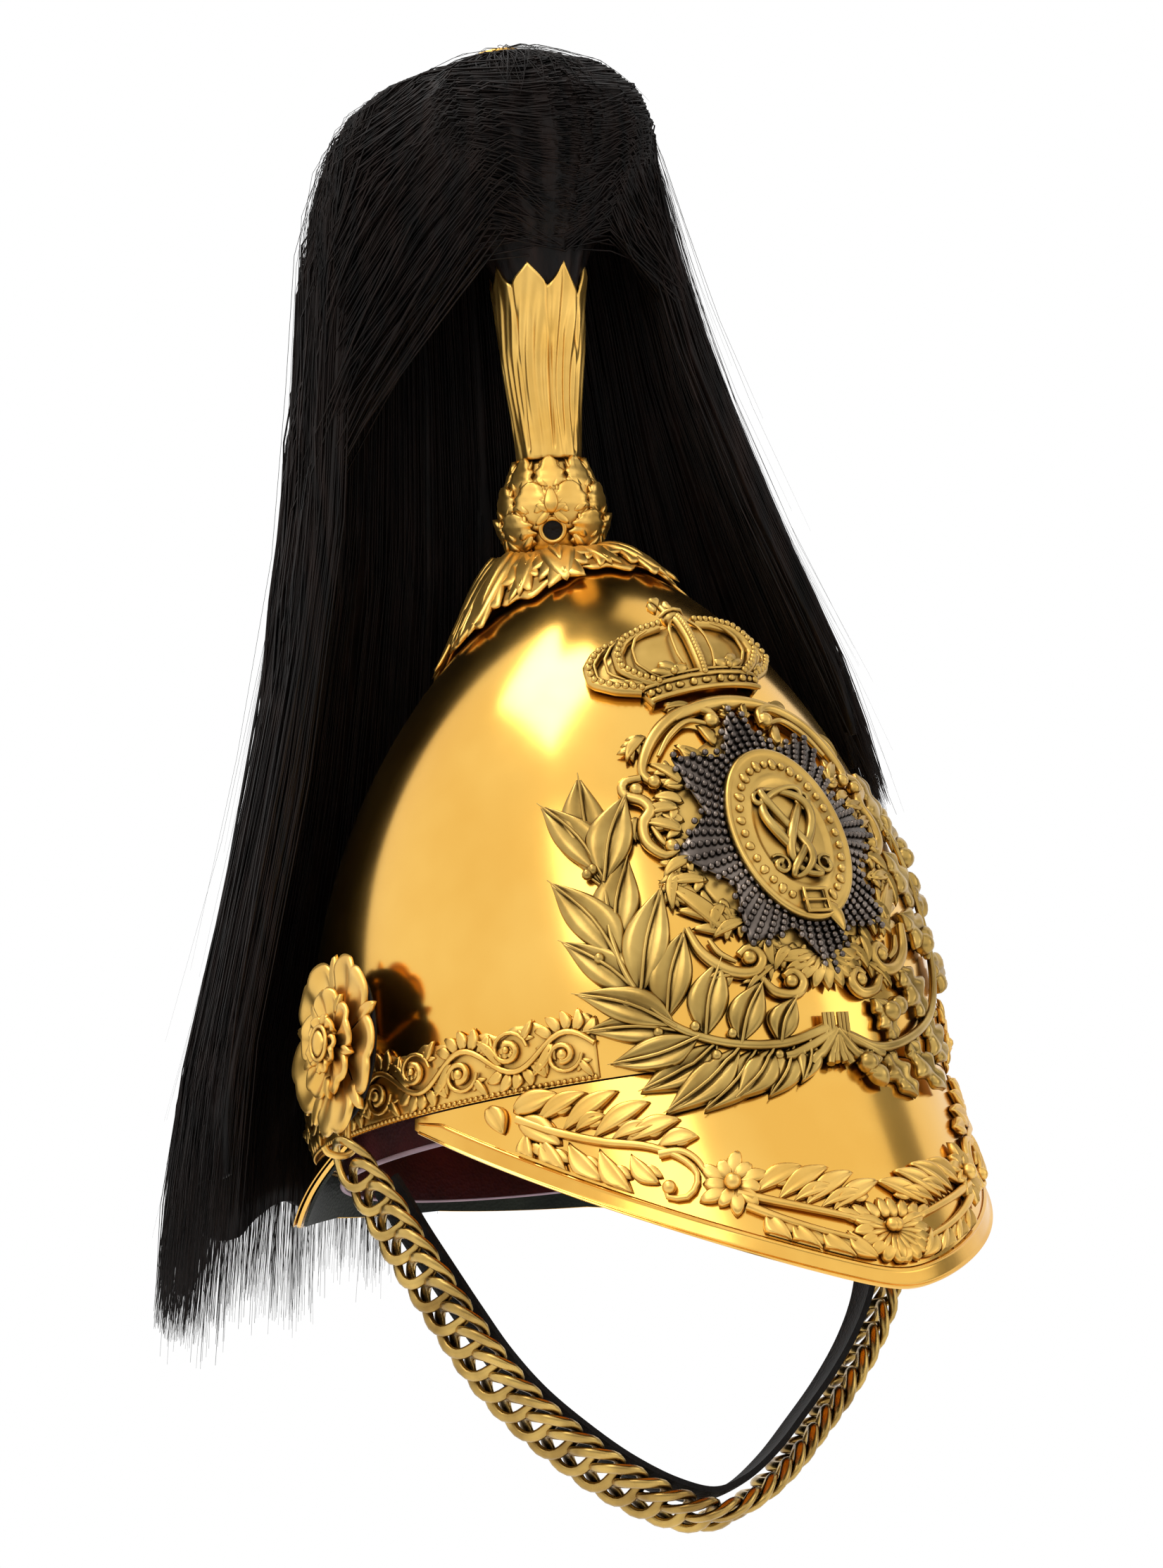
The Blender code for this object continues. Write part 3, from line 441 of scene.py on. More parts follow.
def makeLeather(name, light, dark, roughness, scale=900.0, bump=0.4):
    material = bpy.data.materials.new(name)
    material.use_nodes = True
    tree, nodes, links, shader = nodesOf(material)
    worn = noiseAt(nodes, links, 45.0, 5.0)
    tint = rampOf(nodes, links, worn.outputs["Fac"], ((0.35, (*dark, 1)), (0.7, (*light, 1))))
    links.new(tint.outputs["Color"], shader.inputs["Base Color"])
    shader.inputs["Roughness"].default_value = roughness
    shader.inputs["Specular IOR Level"].default_value = 0.15
    grain = nodes.new("ShaderNodeTexVoronoi")
    grain.inputs["Scale"].default_value = scale
    coordinate = nodes.new("ShaderNodeTexCoord")
    links.new(coordinate.outputs["Object"], grain.inputs["Vector"])
    bumpFrom(nodes, links, shader, grain.outputs["Distance"], bump, 0.0004)
    return material


def makeHair(name, light, dark, roughness):
    material = bpy.data.materials.new(name)
    material.use_nodes = True
    tree, nodes, links, shader = nodesOf(material)
    strand = noiseAt(nodes, links, 260.0, 3.0, stretch=(1.0, 1.0, 0.06))
    tint = rampOf(nodes, links, strand.outputs["Fac"], ((0.35, (*dark, 1)), (0.75, (*light, 1))))
    links.new(tint.outputs["Color"], shader.inputs["Base Color"])
    shader.inputs["Roughness"].default_value = roughness
    shader.inputs["Specular IOR Level"].default_value = 0.16
    bumpFrom(nodes, links, shader, strand.outputs["Fac"], 0.6, 0.0008)
    return material


# The hollow darkening given to these finishes is painted shade in the recesses, together with patina
polishedGilt = makeMetal("polishedGilt", (0.94, 0.56, 0.125), (0.87, 0.48, 0.09), 0.15, bump=0.03, scale=18.0,
                         spread=0.05)
rimGilt = makeMetal("rimGilt", (0.90, 0.52, 0.11), (0.80, 0.43, 0.08), 0.17, patinaAndShade=0.6, bump=0.05, scale=40.0,
                    reach=0.0012)
castGilt = makeMetal("castGilt", (0.72, 0.46, 0.125), (0.54, 0.33, 0.08), 0.30, patinaAndShade=0.9, bump=0.12)
antiqueGilt = makeMetal("antiqueGilt", (0.58, 0.385, 0.11), (0.38, 0.235, 0.06), 0.28, patinaAndShade=0.9, bump=0.15)
satinGilt = makeMetal("satinGilt", (0.92, 0.58, 0.155), (0.80, 0.47, 0.105), 0.34, patinaAndShade=0.75,
                      patinaAndShadeColor=(0.20, 0.09, 0.02), bump=0.08)
darkSilver = makeMetal("darkSilver", (0.27, 0.22, 0.185), (0.085, 0.068, 0.058), 0.26, patinaAndShade=0.95,
                       patinaAndShadeColor=(0.004, 0.003, 0.003), reach=0.0014)
chainBrass = makeMetal("chainBrass", (0.66, 0.44, 0.13), (0.30, 0.18, 0.05), 0.25, patinaAndShade=0.95, bump=0.15,
                       reach=0.003)
blackHair = makeHair("blackHair", (0.013, 0.0068, 0.005), (0.0016, 0.0010, 0.0008), 0.5)
# Black leather of the chin strap; the same near-black finish also paints shade in the screw hole and behind
# the roses
blackLeatherAndShade = makeLeather("blackLeatherAndShade", (0.012, 0.010, 0.009), (0.004, 0.003, 0.003), 0.6)
maroonLeather = makeLeather("maroonLeather", (0.060, 0.008, 0.010), (0.022, 0.004, 0.005), 0.5)
greenLeather = makeLeather("greenLeather", (0.018, 0.022, 0.014), (0.006, 0.008, 0.005), 0.55)
palePiping = makeLeather("palePiping", (0.42, 0.30, 0.34), (0.30, 0.20, 0.24), 0.55, bump=0.2)
print("finishes made")

# ---- shell: skull, peak, neck guard and their rims
shellLook = {"around": 168, "rise": 72, "peakAcross": 150, "peakDown": 26, "guardAcross": 120,
             "guardDown": 10, "wall": 0.08, "brimTop": 0.6, "brimSheet": 1.2, "peakSpan": 0.985,
             "guardBorder": 3.2}


def skullShell():
    bm = bmesh.new()

    def place(u, v):
        angle = u * 2 * math.pi
        wall = shellLook["wall"]
        if v < wall:
            return skullRing(angle, skull["straight"] * v / wall)
        up = math.sin((v - wall) / (1 - wall) * math.pi / 2)
        if v > 0.9999:
            return Vector((0, -skull["forward"], skull["top"]))
        return skullRing(angle, skull["straight"] + (skull["top"] - skull["straight"]) * up)
    bentSheet(bm, shellLook["around"], shellLook["rise"], place, skull["sheet"], closed=True)
    return finishPiece("skullShell", bm, polishedGilt, ("skull",), sharp=60)


def brimDrop(edge, share):
    return shellLook["brimTop"] + (edge - shellLook["brimTop"]) * share


def peakPlate():
    bm = bmesh.new()

    def place(u, v):
        angle = (2 * u - 1) * peak["end"] * shellLook["peakSpan"]
        return flared(angle, brimDrop(peakEdge(angle), v), peakFlare(angle), 0.0)
    bentSheet(bm, shellLook["peakAcross"], shellLook["peakDown"], place, shellLook["brimSheet"])
    finishPiece("peakPlate", bm, polishedGilt, ("front_peak",), sharp=50)
    bm = bmesh.new()

    def rimPlace(u, v):     # flat border, a raised line at its inner side and a rolled lip at the edge
        angle = (2 * u - 1) * peak["end"] * 0.97
        edge = peakEdge(angle)
        wide = min(peak["border"], edge * 0.62)
        drop = edge - wide * (1 - v) + 0.15
        lip = math.exp(-((1 - v) / 0.10) ** 2)
        line = math.exp(-((v - 0.12) / 0.07) ** 2)
        return flared(angle, drop, peakFlare(angle), 0.30 + 0.65 * lip + 0.75 * line)
    bentSheet(bm, shellLook["peakAcross"], 22, rimPlace, 0.5)
    return finishPiece("peakBorder", bm, rimGilt, ("peak_rim",), sharp=60)


def neckGuard():
    bm = bmesh.new()

    def place(u, v):
        turn = (2 * u - 1) * (math.pi - guard["end"])
        return flared(math.pi + turn, brimDrop(guardEdge(turn), v), guard["flare"], 0.0)
    bentSheet(bm, shellLook["guardAcross"], shellLook["guardDown"], place, shellLook["brimSheet"])
    finishPiece("guardPlate", bm, polishedGilt, ("neck_guard",), sharp=50)
    bm = bmesh.new()

    def rimPlace(u, v):
        turn = (2 * u - 1) * 0.98 * (math.pi - guard["end"])
        edge = guardEdge(turn)
        wide = min(shellLook["guardBorder"], edge * 0.6)
        lip = math.exp(-((1 - v) / 0.3) ** 2)
        return flared(math.pi + turn, edge - wide * (1 - v) + 0.1, guard["flare"], 0.4 + 0.8 * lip)
    bentSheet(bm, shellLook["guardAcross"], 8, rimPlace, 0.4)
    return finishPiece("guardBorder", bm, rimGilt, ("guard_rim",), sharp=60)


skullShell()
peakPlate()
neckGuard()
print("shell made")


# ---- leather: sweatband with its piping, and the linings
leatherLook = {"top": 14.0, "drop": 9.0, "inset": 5.0, "near": 1.8, "sheet": 1.6, "gap": 0.7, "lining": 1.0}


def sweatband():
    bm = bmesh.new()

    def place(u, v):
        base = skullRing(u * 2 * math.pi, 0.0)
        out = Vector((base.x, base.y, 0)).normalized()
        z = -leatherLook["drop"] + (leatherLook["top"] + leatherLook["drop"]) * v
        draw = leatherLook["near"] + leatherLook["inset"] * math.cos(v * math.pi / 2)
        return Vector((base.x, base.y, z)) - out * draw
    bentSheet(bm, 140, 14, place, leatherLook["sheet"], closed=True)
    finishPiece("sweatLeather", bm, maroonLeather, ("sweatband",), sharp=60)
    bm = bmesh.new()
    runs = [([place(i / 160, 0.0) - Vector((0, 0, -0.3)) for i in range(160)], [0.8] * 160, True)]
    addTubes(bm, runs, 2)
    finishPiece("sweatPiping", bm, palePiping)


def linings():
    under = -shellLook["brimSheet"] - leatherLook["gap"]
    bm = bmesh.new()

    def peakPlace(u, v):
        angle = (2 * u - 1) * 0.94 * peak["end"] * shellLook["peakSpan"]
        return flared(angle, brimDrop(peakEdge(angle), 0.04 + 0.92 * v), peakFlare(angle), under)
    bentSheet(bm, 90, 12, peakPlace, leatherLook["lining"])
    finishPiece("peakLeather", bm, greenLeather, ("peak_lining",), sharp=60)
    bm = bmesh.new()

    def guardPlace(u, v):
        turn = (2 * u - 1) * 0.95 * (math.pi - guard["end"])
        return flared(math.pi + turn, brimDrop(guardEdge(turn), 0.05 + 0.9 * v), guard["flare"], under)
    bentSheet(bm, 80, 6, guardPlace, leatherLook["lining"])
    finishPiece("guardLeather", bm, greenLeather, ("guard_lining",), sharp=60)


sweatband()
linings()
print("leather made")


# ---- headband: a beaded strip with a waving stem, acanthus fingers and curls
bandLook = {"start": 44.0, "waves": 7, "swing": 4.6, "middle": 11.0, "curl": 6.0, "fingers": 5,
            "beadPitch": 1.9}


def headband(name, node, sign):
    bm = bmesh.new()
    first, last, level = bandLook["start"], band["end"], bandLook["middle"]
    curls = random.Random(3)     # both sides draw the same curls

    def chart(s, z, lift):
        return bandChart(sign * (first + s / perDegree), z, lift)
    length = (last - first) * perDegree
    wave = length / bandLook["waves"]

    def strip(u, v):
        scallop = 1.0 * math.sin(u * bandLook["waves"] * 4 * math.pi) + 0.5 * math.sin(u * 190)
        return chart(u * length, 0.5 + (band["height"] - 3.2 + scallop * (v > 0.9)) * v, 0.75)
    bentSheet(bm, 190, 10, strip, 0.45)

    def stemAt(s):
        return level + bandLook["swing"] * math.sin(2 * math.pi * s / wave)
    steps = bandLook["waves"] * 16
    line = [chart(length * i / steps, stemAt(length * i / steps), 1.7) for i in range(steps + 1)]
    runs = [(line, [1.0] * len(line), False)]
    for half in range(bandLook["waves"] * 2):
        s = (half + 0.5) * wave / 2
        up = 1 if half % 2 == 0 else -1
        middle = (s + 1.5, level - up * 2.2)
        size = bandLook["curl"] + curls.uniform(-0.4, 0.4)
        runs.append(scrollRun(chart, middle, size, 290 * up, -1.30 * up, radius=1.05, lift=1.8, steps=22))
        if half % 2:
            for k in range(6):
                aim = math.radians(60 * k)
                tip = (middle[0] + 3.4 * math.cos(aim), middle[1] + 3.4 * math.sin(aim))
                addLeaf(bm, chart, middle, tip, 2.4, 1.8, base=1.2, rib=0.3, rounds=8, rings=6)
            addBead(bm, chart(middle[0], middle[1], 2.9), 1.1)
        else:
            addBead(bm, chart(middle[0], middle[1], 2.2), 1.8)
        for k in range(bandLook["fingers"]):
            share = k / (bandLook["fingers"] - 1)
            root = (s - 5.0 + 9.0 * share, stemAt(s - 5.0 + 9.0 * share))
            aim = math.radians(up * (128 - 100 * share))
            reach = 7.8 - 2.0 * abs(share - 0.4)
            tip = (root[0] + reach * math.cos(aim), min(max(root[1] + reach * math.sin(aim), 0.9), 22.4))
            addLeaf(bm, chart, root, tip, 3.7, 1.8, bend=0.8 * up, base=0.9, rib=0.5, rounds=10, rings=8)
        acanthus(bm, chart, (s + 4.0, stemAt(s + 4.0) - up * 0.5), (s + 12.5, level - up * 7.5), 8.0, 1.7,
                 base=0.9, pairs=2, bend=-1.0 * up)
        acanthus(bm, chart, (s - 3.0, level - up * 4.0), (s - 7.0, level - up * 10.2), 6.0, 1.5, base=0.8,
                 pairs=1)
    for k in range(int(length / bandLook["beadPitch"])):
        addBead(bm, chart(1.0 + k * bandLook["beadPitch"], 0.9, 0.9), 0.75, 6, 4)
    addTubes(bm, runs, 1)
    return finishPiece(name, bm, satinGilt, (node,))


headband("bandRight", "headband_right", 1)
headband("bandLeft", "headband_left", -1)
print("headband made")

# ---- wreath: laurel on the wearer's right, oak on the left; share along the stem, tip across, tip up, width
laurel = {"stem": [(3, 8), (18, 4), (34, 6), (46, 13), (53, 25), (55.5, 40), (54.5, 52), (53.5, 60)],
          "leaves": [(0.97, 50, 94, 11), (1.0, 60.5, 86, 10), (0.985, 41.5, 85, 10),
                     (0.76, 46.5, 66, 10.5), (0.71, 64.5, 61.5, 10.5), (0.60, 41, 55, 10.5),
                     (0.565, 66, 43, 10.5), (0.50, 38.5, 41, 10.5), (0.47, 65.5, 26, 10.5),
                     (0.43, 65, 14.5, 10.5), (0.38, 31, 31, 10.5), (0.40, 60.5, 3.5, 11),
                     (0.35, 55, -6.5, 10.5), (0.29, 50, -14.5, 10.5), (0.28, 21, 23, 10),
                     (0.24, 41, -15, 10.5), (0.18, 33, -12.5, 10), (0.17, 12, 17.5, 9),
                     (0.11, 24, -12.5, 9), (0.06, 14, -9, 8)]}
oak = {"stem": [(3, 6), (16, 2), (32, 6), (46, 15), (55, 30), (58, 48), (56, 66), (52, 76)],
       "leaves": [(0.958, 48, 94, 15), (0.918, 65, 84, 14), (0.768, 69, 56, 15), (0.743, 43, 66, 15),
                  (0.618, 40, 45, 15), (0.593, 68, 28, 15), (0.408, 58, 1, 15), (0.383, 30, 27, 15),
                  (0.258, 43, -11, 14), (0.168, 27, -14, 13), (0.20, 16, 17, 10), (0.078, 12, -10, 9)]}


def wreath(name, node, sign, look, lobes):
    bm = bmesh.new()
    line = smoothRun([(sign * x, z, 0) for x, z in look["stem"]], 61)
    runs = [([frontChart(p.x, p.y, 2.6) for p in line], [1.8 - 1.0 * i / 60 for i in range(61)], False)]
    for index, (along, tipX, tipZ, wide) in enumerate(look["leaves"]):
        root = line[round(along * 60)]
        tip = (sign * tipX, tipZ)
        outer = 1 if (tip[0] - root.x) * sign > 0 else -1
        lift = 0.5 + (index % 3) * 0.75
        bow = 1.5 * outer * sign * (1 if tip[1] > root.y else -1)
        if lobes:
            form = {"rings": 30}
        else:
            wide *= 1.04
            form = {"rings": 18, "sharp": 1.15, "groove": 0.42}
        addLeaf(bm, frontChart, root.xy, tip, wide, 3.3, bend=bow, lobes=lobes, base=lift, rib=0.62, fat=0.92,
                rounds=22, lobeDepth=0.46, tipLift=1.2, **form)
        if not lobes:          # a fine rib standing in the hollow
            middle = root.lerp(Vector((*tip, 0)), 0.5)
            swing = Vector((-(tip[1] - root.y), tip[0] - root.x)).normalized() * bow
            ribLine = [(root.x, root.y), (middle.x + swing.x, middle.y + swing.y), tip]
            path = smoothRun([(x, z, 0) for x, z in ribLine], 9)
            rises = [lift + 1.6 + 0.9 * math.sin(math.pi * i / 8) + 1.0 * (i / 8) ** 2 for i in range(9)]
            runs.append(([frontChart(p.x, p.y, rise) for p, rise in zip(path, rises)],
                         [0.55] * 6 + [0.45, 0.35, 0.15], False))
        run = Vector(tip) - root.xy
        side = Vector((-run.y, run.x)).normalized()
        if index % 2 == 0:
            spot = root.xy + side * 3.2 + run * 0.12
            addBead(bm, frontChart(spot.x, spot.y, 2.6), 1.8 if not lobes else 1.3)
            stalk = [frontChart(root.x, root.y, 2.0), frontChart(spot.x, spot.y, 1.9)]
            runs.append((stalk, [0.5, 0.4], False))
    if lobes:
        for x, z, lean in ((22, 13, 0.4), (50, 36, 0.8), (9, -4, -0.9), (60, 66, 1.2)):
            top = (sign * (x + 9 * math.cos(lean)), z + 9 * math.sin(lean))
            addLeaf(bm, frontChart, (sign * x, z), top, 6.4, 4.2, base=1.6, rib=0.0, fat=1.0)
            addBead(bm, frontChart(sign * x, z, 3.2), 3.4, 12, 8)
    # cut stems below the crossing
    for aimDeg, far, thick in ((228, 15, 1.9), (252, 12, 1.6), (278, 11, 1.5), (205, 19, 1.7)):
        aim = math.radians(aimDeg if sign > 0 else 180 - aimDeg)
        spots = [(0, 7.5), (-0.5 * far * math.cos(aim), 7.5 + 0.55 * far * math.sin(aim)),
                 (-far * math.cos(aim), 7.5 + far * math.sin(aim))]
        path = smoothRun([(x, z, 0) for x, z in spots], 9)
        runs.append(([frontChart(p.x, p.y, 2.6) for p in path], [thick] * 8 + [thick * 0.8], False))
    for k in range(3):         # a band round the crossing
        tie = [frontChart(sign * (1.2 + 1.3 * k), 3.4 + 4.6 * i, 3.4) for i in range(3)]
        runs.append((tie, [0.8] * 3, False))
    addTubes(bm, runs, 2)
    return finishPiece(name, bm, antiqueGilt, (node,))


wreath("laurelSpray", "laurel_branch", -1, laurel, 0)
wreath("oakSpray", "oak_branch", 1, oak, 3)
print("wreath made")

# ---- plate: open scrollwork, a beaded star, the belt and the scroll in its middle
plate = {"middle": 67.6, "beltWide": 19.4, "beltTall": 28.0, "rays": 58, "bead": 0.98, "starWide": 36.5,
         "starTall": 45.0, "starLean": math.radians(-5)}
# The left half of the open scrollwork, in millimetres across and up: strokes, their thickness, bosses, leaves
scrollwork = {
    "strokes": [
        ([(8, 106), (9, 110.5), (15, 111.5), (24, 107), (31, 100), (35.5, 91.5), (33, 87)], 1.7),
        ([(11, 106.5), (17, 107.5), (24, 103), (29.5, 96.5)], 0.9),
        ([(36.5, 90), (41, 89), (42, 85), (38.3, 82.5), (37.5, 79), (40.5, 75), (41, 69), (37.5, 64.5),
          (34, 66)], 1.7),
        ([(38.5, 74), (37.5, 70), (36.5, 67.5)], 0.9),
        ([(38, 41), (35.5, 33), (29.5, 27), (22.5, 26), (19.5, 30), (22.5, 33.5), (26, 31.5)], 1.7),
        ([(33, 37), (31, 32.5), (27, 29.5)], 0.9),
        ([(21, 24), (17.5, 19.5), (11.5, 18.5), (8.5, 22), (11, 25.5), (14, 24)], 1.6),
        ([(4, 25), (7.5, 29), (5.5, 33)], 1.3)],
    "bosses": [(9.5, 107.3, 2.6), (33.5, 88.3, 2.2), (38.8, 86.2, 2.3), (35.3, 67.2, 2.3), (23.2, 30.4, 2.4),
               (12.2, 22.4, 2.2)],
    "leaves": [(26, 37, 41.5, 57.5, 13), (30, 104, 38, 96, 7), (13, 112, 22, 112, 5), (41, 78, 43.5, 70, 5),
               (28, 26, 36.5, 24, 7), (36, 60, 40, 47, 8), (16, 28, 26, 20, 6), (3, 108, 5, 114, 5)]}


def plateFrame():
    bm = bmesh.new()
    middle = plate["middle"]

    def back(u, v):
        turn = u * 2 * math.pi
        reach = 0.60 + 0.24 * v
        return frontChart(39.5 * reach * math.sin(turn), middle + 43.5 * reach * math.cos(turn), 0.9)
    bentSheet(bm, 120, 5, back, 0.5, closed=True)
    runs = []
    for side in (-1, 1):
        for points, stroke in scrollwork["strokes"]:
            path = smoothRun([(side * x, z, 0) for x, z in points], 30)
            runs.append(([frontChart(p.x, p.y, 2.3) for p in path],
                         [stroke * (0.75 + 0.45 * math.sin(math.pi * i / 29)) for i in range(30)], False))
        for x, z, size in scrollwork["bosses"]:
            addBead(bm, frontChart(side * x, z, 2.4), size, 12, 8)
        for x0, z0, x1, z1, wide in scrollwork["leaves"]:
            acanthus(bm, frontChart, (side * x0, z0), (side * x1, z1), wide, 2.0, base=1.6, bend=side * 1.0)
        for k in range(9):      # leaves that roll outward between the strokes
            turn = math.radians(58 + k * 13)
            root = (side * 31 * math.sin(turn), middle + 36 * math.cos(turn))
            swing = turn + (0.5 if k % 2 else -0.35)
            tip = (root[0] + side * 11.5 * math.sin(swing), root[1] + 10.0 * math.cos(swing))
            acanthus(bm, frontChart, root, tip, 8.5, 2.0, base=1.7, pairs=2, bend=1.2 * side)
        for k in range(14):     # small fingers that curl out under the star
            turn = math.radians(22 + k * 11)
            root = (side * 30 * math.sin(turn), middle + 34 * math.cos(turn))
            swing = turn + 0.55 * math.sin(k * 2.3)
            tip = (root[0] + side * 8.5 * math.sin(swing), root[1] + 8.5 * math.cos(swing))
            addLeaf(bm, frontChart, root, tip, 3.8, 1.8, bend=0.9 * side * (-1) ** k, base=1.2, rib=0.45,
                    rounds=10, rings=8)
    for k in range(9):         # shell of leaves under the star, above the knot
        aim = math.radians(-90 + (k - 4) * 20)
        root = (0.6 * (k - 4), 30)
        tip = (root[0] + 14 * math.cos(aim), root[1] + 14.5 * math.sin(aim) * 0.9 + 2)
        addLeaf(bm, frontChart, root, tip, 5.0, 2.8, base=1.9, rib=0.5, rounds=10, rings=8)
    addTubes(bm, runs, 2)
    return finishPiece("plateScrolls", bm, castGilt, ("plate_frame",))


def starOutline(turn):
    phase = (turn * 8 / (2 * math.pi)) % 1.0
    return 0.72 + 0.28 * abs(2 * phase - 1) ** 1.3


def beadedStar():
    bm = bmesh.new()
    middle, wide, tall = plate["middle"], plate["starWide"], plate["starTall"]

    def at(turn, reach, lift):
        lean = turn + plate["starLean"]
        return frontChart(wide * reach * math.sin(lean), middle + tall * reach * math.cos(lean), lift)

    def back(u, v):
        turn = u * 2 * math.pi
        return at(turn, max((starOutline(turn) - 0.05) * v, 0.001), 3.7 - 0.5 * v)
    bentSheet(bm, 144, 12, back, 0.6, closed=True)
    for ray in range(plate["rays"]):
        turn = 2 * math.pi * ray / plate["rays"]
        outer = starOutline(turn) + 0.015 * math.sin(ray * 2.6)
        scale = math.hypot(wide * math.sin(turn), tall * math.cos(turn))
        reach = 0.5
        while reach < outer:
            size = plate["bead"] * (0.80 + 0.42 * reach)
            addBead(bm, at(turn, reach, 4.1 - 0.5 * reach), size, 8, 5)
            reach += size * 1.9 / scale
    return finishPiece("starBeads", bm, darkSilver, ("star",))


def ovalAt(wide, tall, turn, lift):
    return frontChart(wide * math.sin(turn), plate["middle"] + tall * math.cos(turn), lift)


def beltOval():
    bm = bmesh.new()
    wide, tall = plate["beltWide"], plate["beltTall"]

    def face(u, v):
        turn = u * 2 * math.pi
        rimOut = 0.7 * math.exp(-((v - 0.95) / 0.035) ** 2)
        rimIn = 0.6 * math.exp(-((v - 0.62) / 0.03) ** 2)
        dome = 1.1 if v > 0.62 else 0.55
        edge = 0 if v < 0.985 else -1.4
        return ovalAt(max(wide * v, 0.02), max(tall * v, 0.02), turn, 4.6 + dome + rimOut + rimIn + edge)
    bentSheet(bm, 120, 34, face, 0.8, closed=True)
    for k in range(34):        # plain beads and lozenges in place of words
        turn = 2 * math.pi * (k + 0.5) / 34
        if abs(turn - math.pi) < 0.36:
            continue
        if k % 2:
            addBead(bm, ovalAt(wide * 0.79, tall * 0.79, turn, 5.8), 1.35)
        else:
            root = ovalFlat(0.715, turn)
            tip = ovalFlat(0.88, turn)
            addLeaf(bm, frontChart, root, tip, 3.0, 1.3, base=5.5, rib=0.0, rounds=8, rings=6)
    runs = []
    corners = [(-3.6, -3.4), (3.6, -3.4), (3.6, 3.4), (-3.6, 3.4)]
    base = plate["middle"] - tall * 0.785
    runs.append(([frontChart(x, base + z, 6.9) for x, z in corners], [0.75] * 4, True))
    runs.append(([frontChart(-4.5, base, 7.0), frontChart(4.2, base, 7.0)], [0.55, 0.4], False))
    addLeaf(bm, frontChart, (3, base + 0.5), (8, base - 9.5), 5.2, 1.2, base=5.2, rib=0.0, bend=1.0)
    addTubes(bm, runs, 2)
    return finishPiece("beltDisc", bm, castGilt, ("belt",))


def ovalFlat(share, turn):
    return (plate["beltWide"] * share * math.sin(turn),
            plate["middle"] + plate["beltTall"] * share * math.cos(turn))


def middleScroll():
    bm = bmesh.new()
    runs = []
    for side in (-1, 1):       # two ribbons that loop through each other, mirrored, so they spell nothing
        line, radii = [], []
        for step in range(80):
            turn = 2 * math.pi * step / 80
            x = side * (5.4 * math.sin(2 * turn + 0.7) + 2.6 * math.sin(turn))
            z = plate["middle"] + 14.0 * math.cos(turn)
            line.append(frontChart(x, z, 6.0 + 0.8 * math.sin(4 * turn + side * 1.2)))
            radii.append(0.85 + 0.75 * abs(math.sin(turn)))
        runs.append((line, radii, True))
        for x, z, start in ((7.5, 10.5, 200), (7.5, -10.5, 120)):
            def flip(a, b, lift, side=side):
                return frontChart(side * a, b, lift)
            turns = 1.2 if z > 0 else -1.2
            runs.append(scrollRun(flip, (x, plate["middle"] + z), 3.4, start, turns, radius=0.9, lift=6.0,
                                  steps=18))
    addTubes(bm, runs, 2)
    return finishPiece("middleScroll", bm, antiqueGilt, ("scroll_emblem",))


plateFrame()
beadedStar()
beltOval()
middleScroll()
print("plate made")

# ---- crown: band, three arches with pearls, a ribbed cap and a cross
crownLook = {"middle": -4.5, "lean": math.radians(6), "foot": 114.5, "tall": 23.5, "half": 30.5, "bulge": 8.0,
             "bow": 3.5,
             "profile": ((0.0, 0.62, 0.12), (0.22, 0.66, 0.30), (0.33, 0.85, 0.50), (0.50, 1.0, 0.70),
                         (0.68, 0.96, 0.90), (0.84, 0.82, 1.0), (0.95, 0.50, 1.0), (1.0, 0.14, 0.95))}


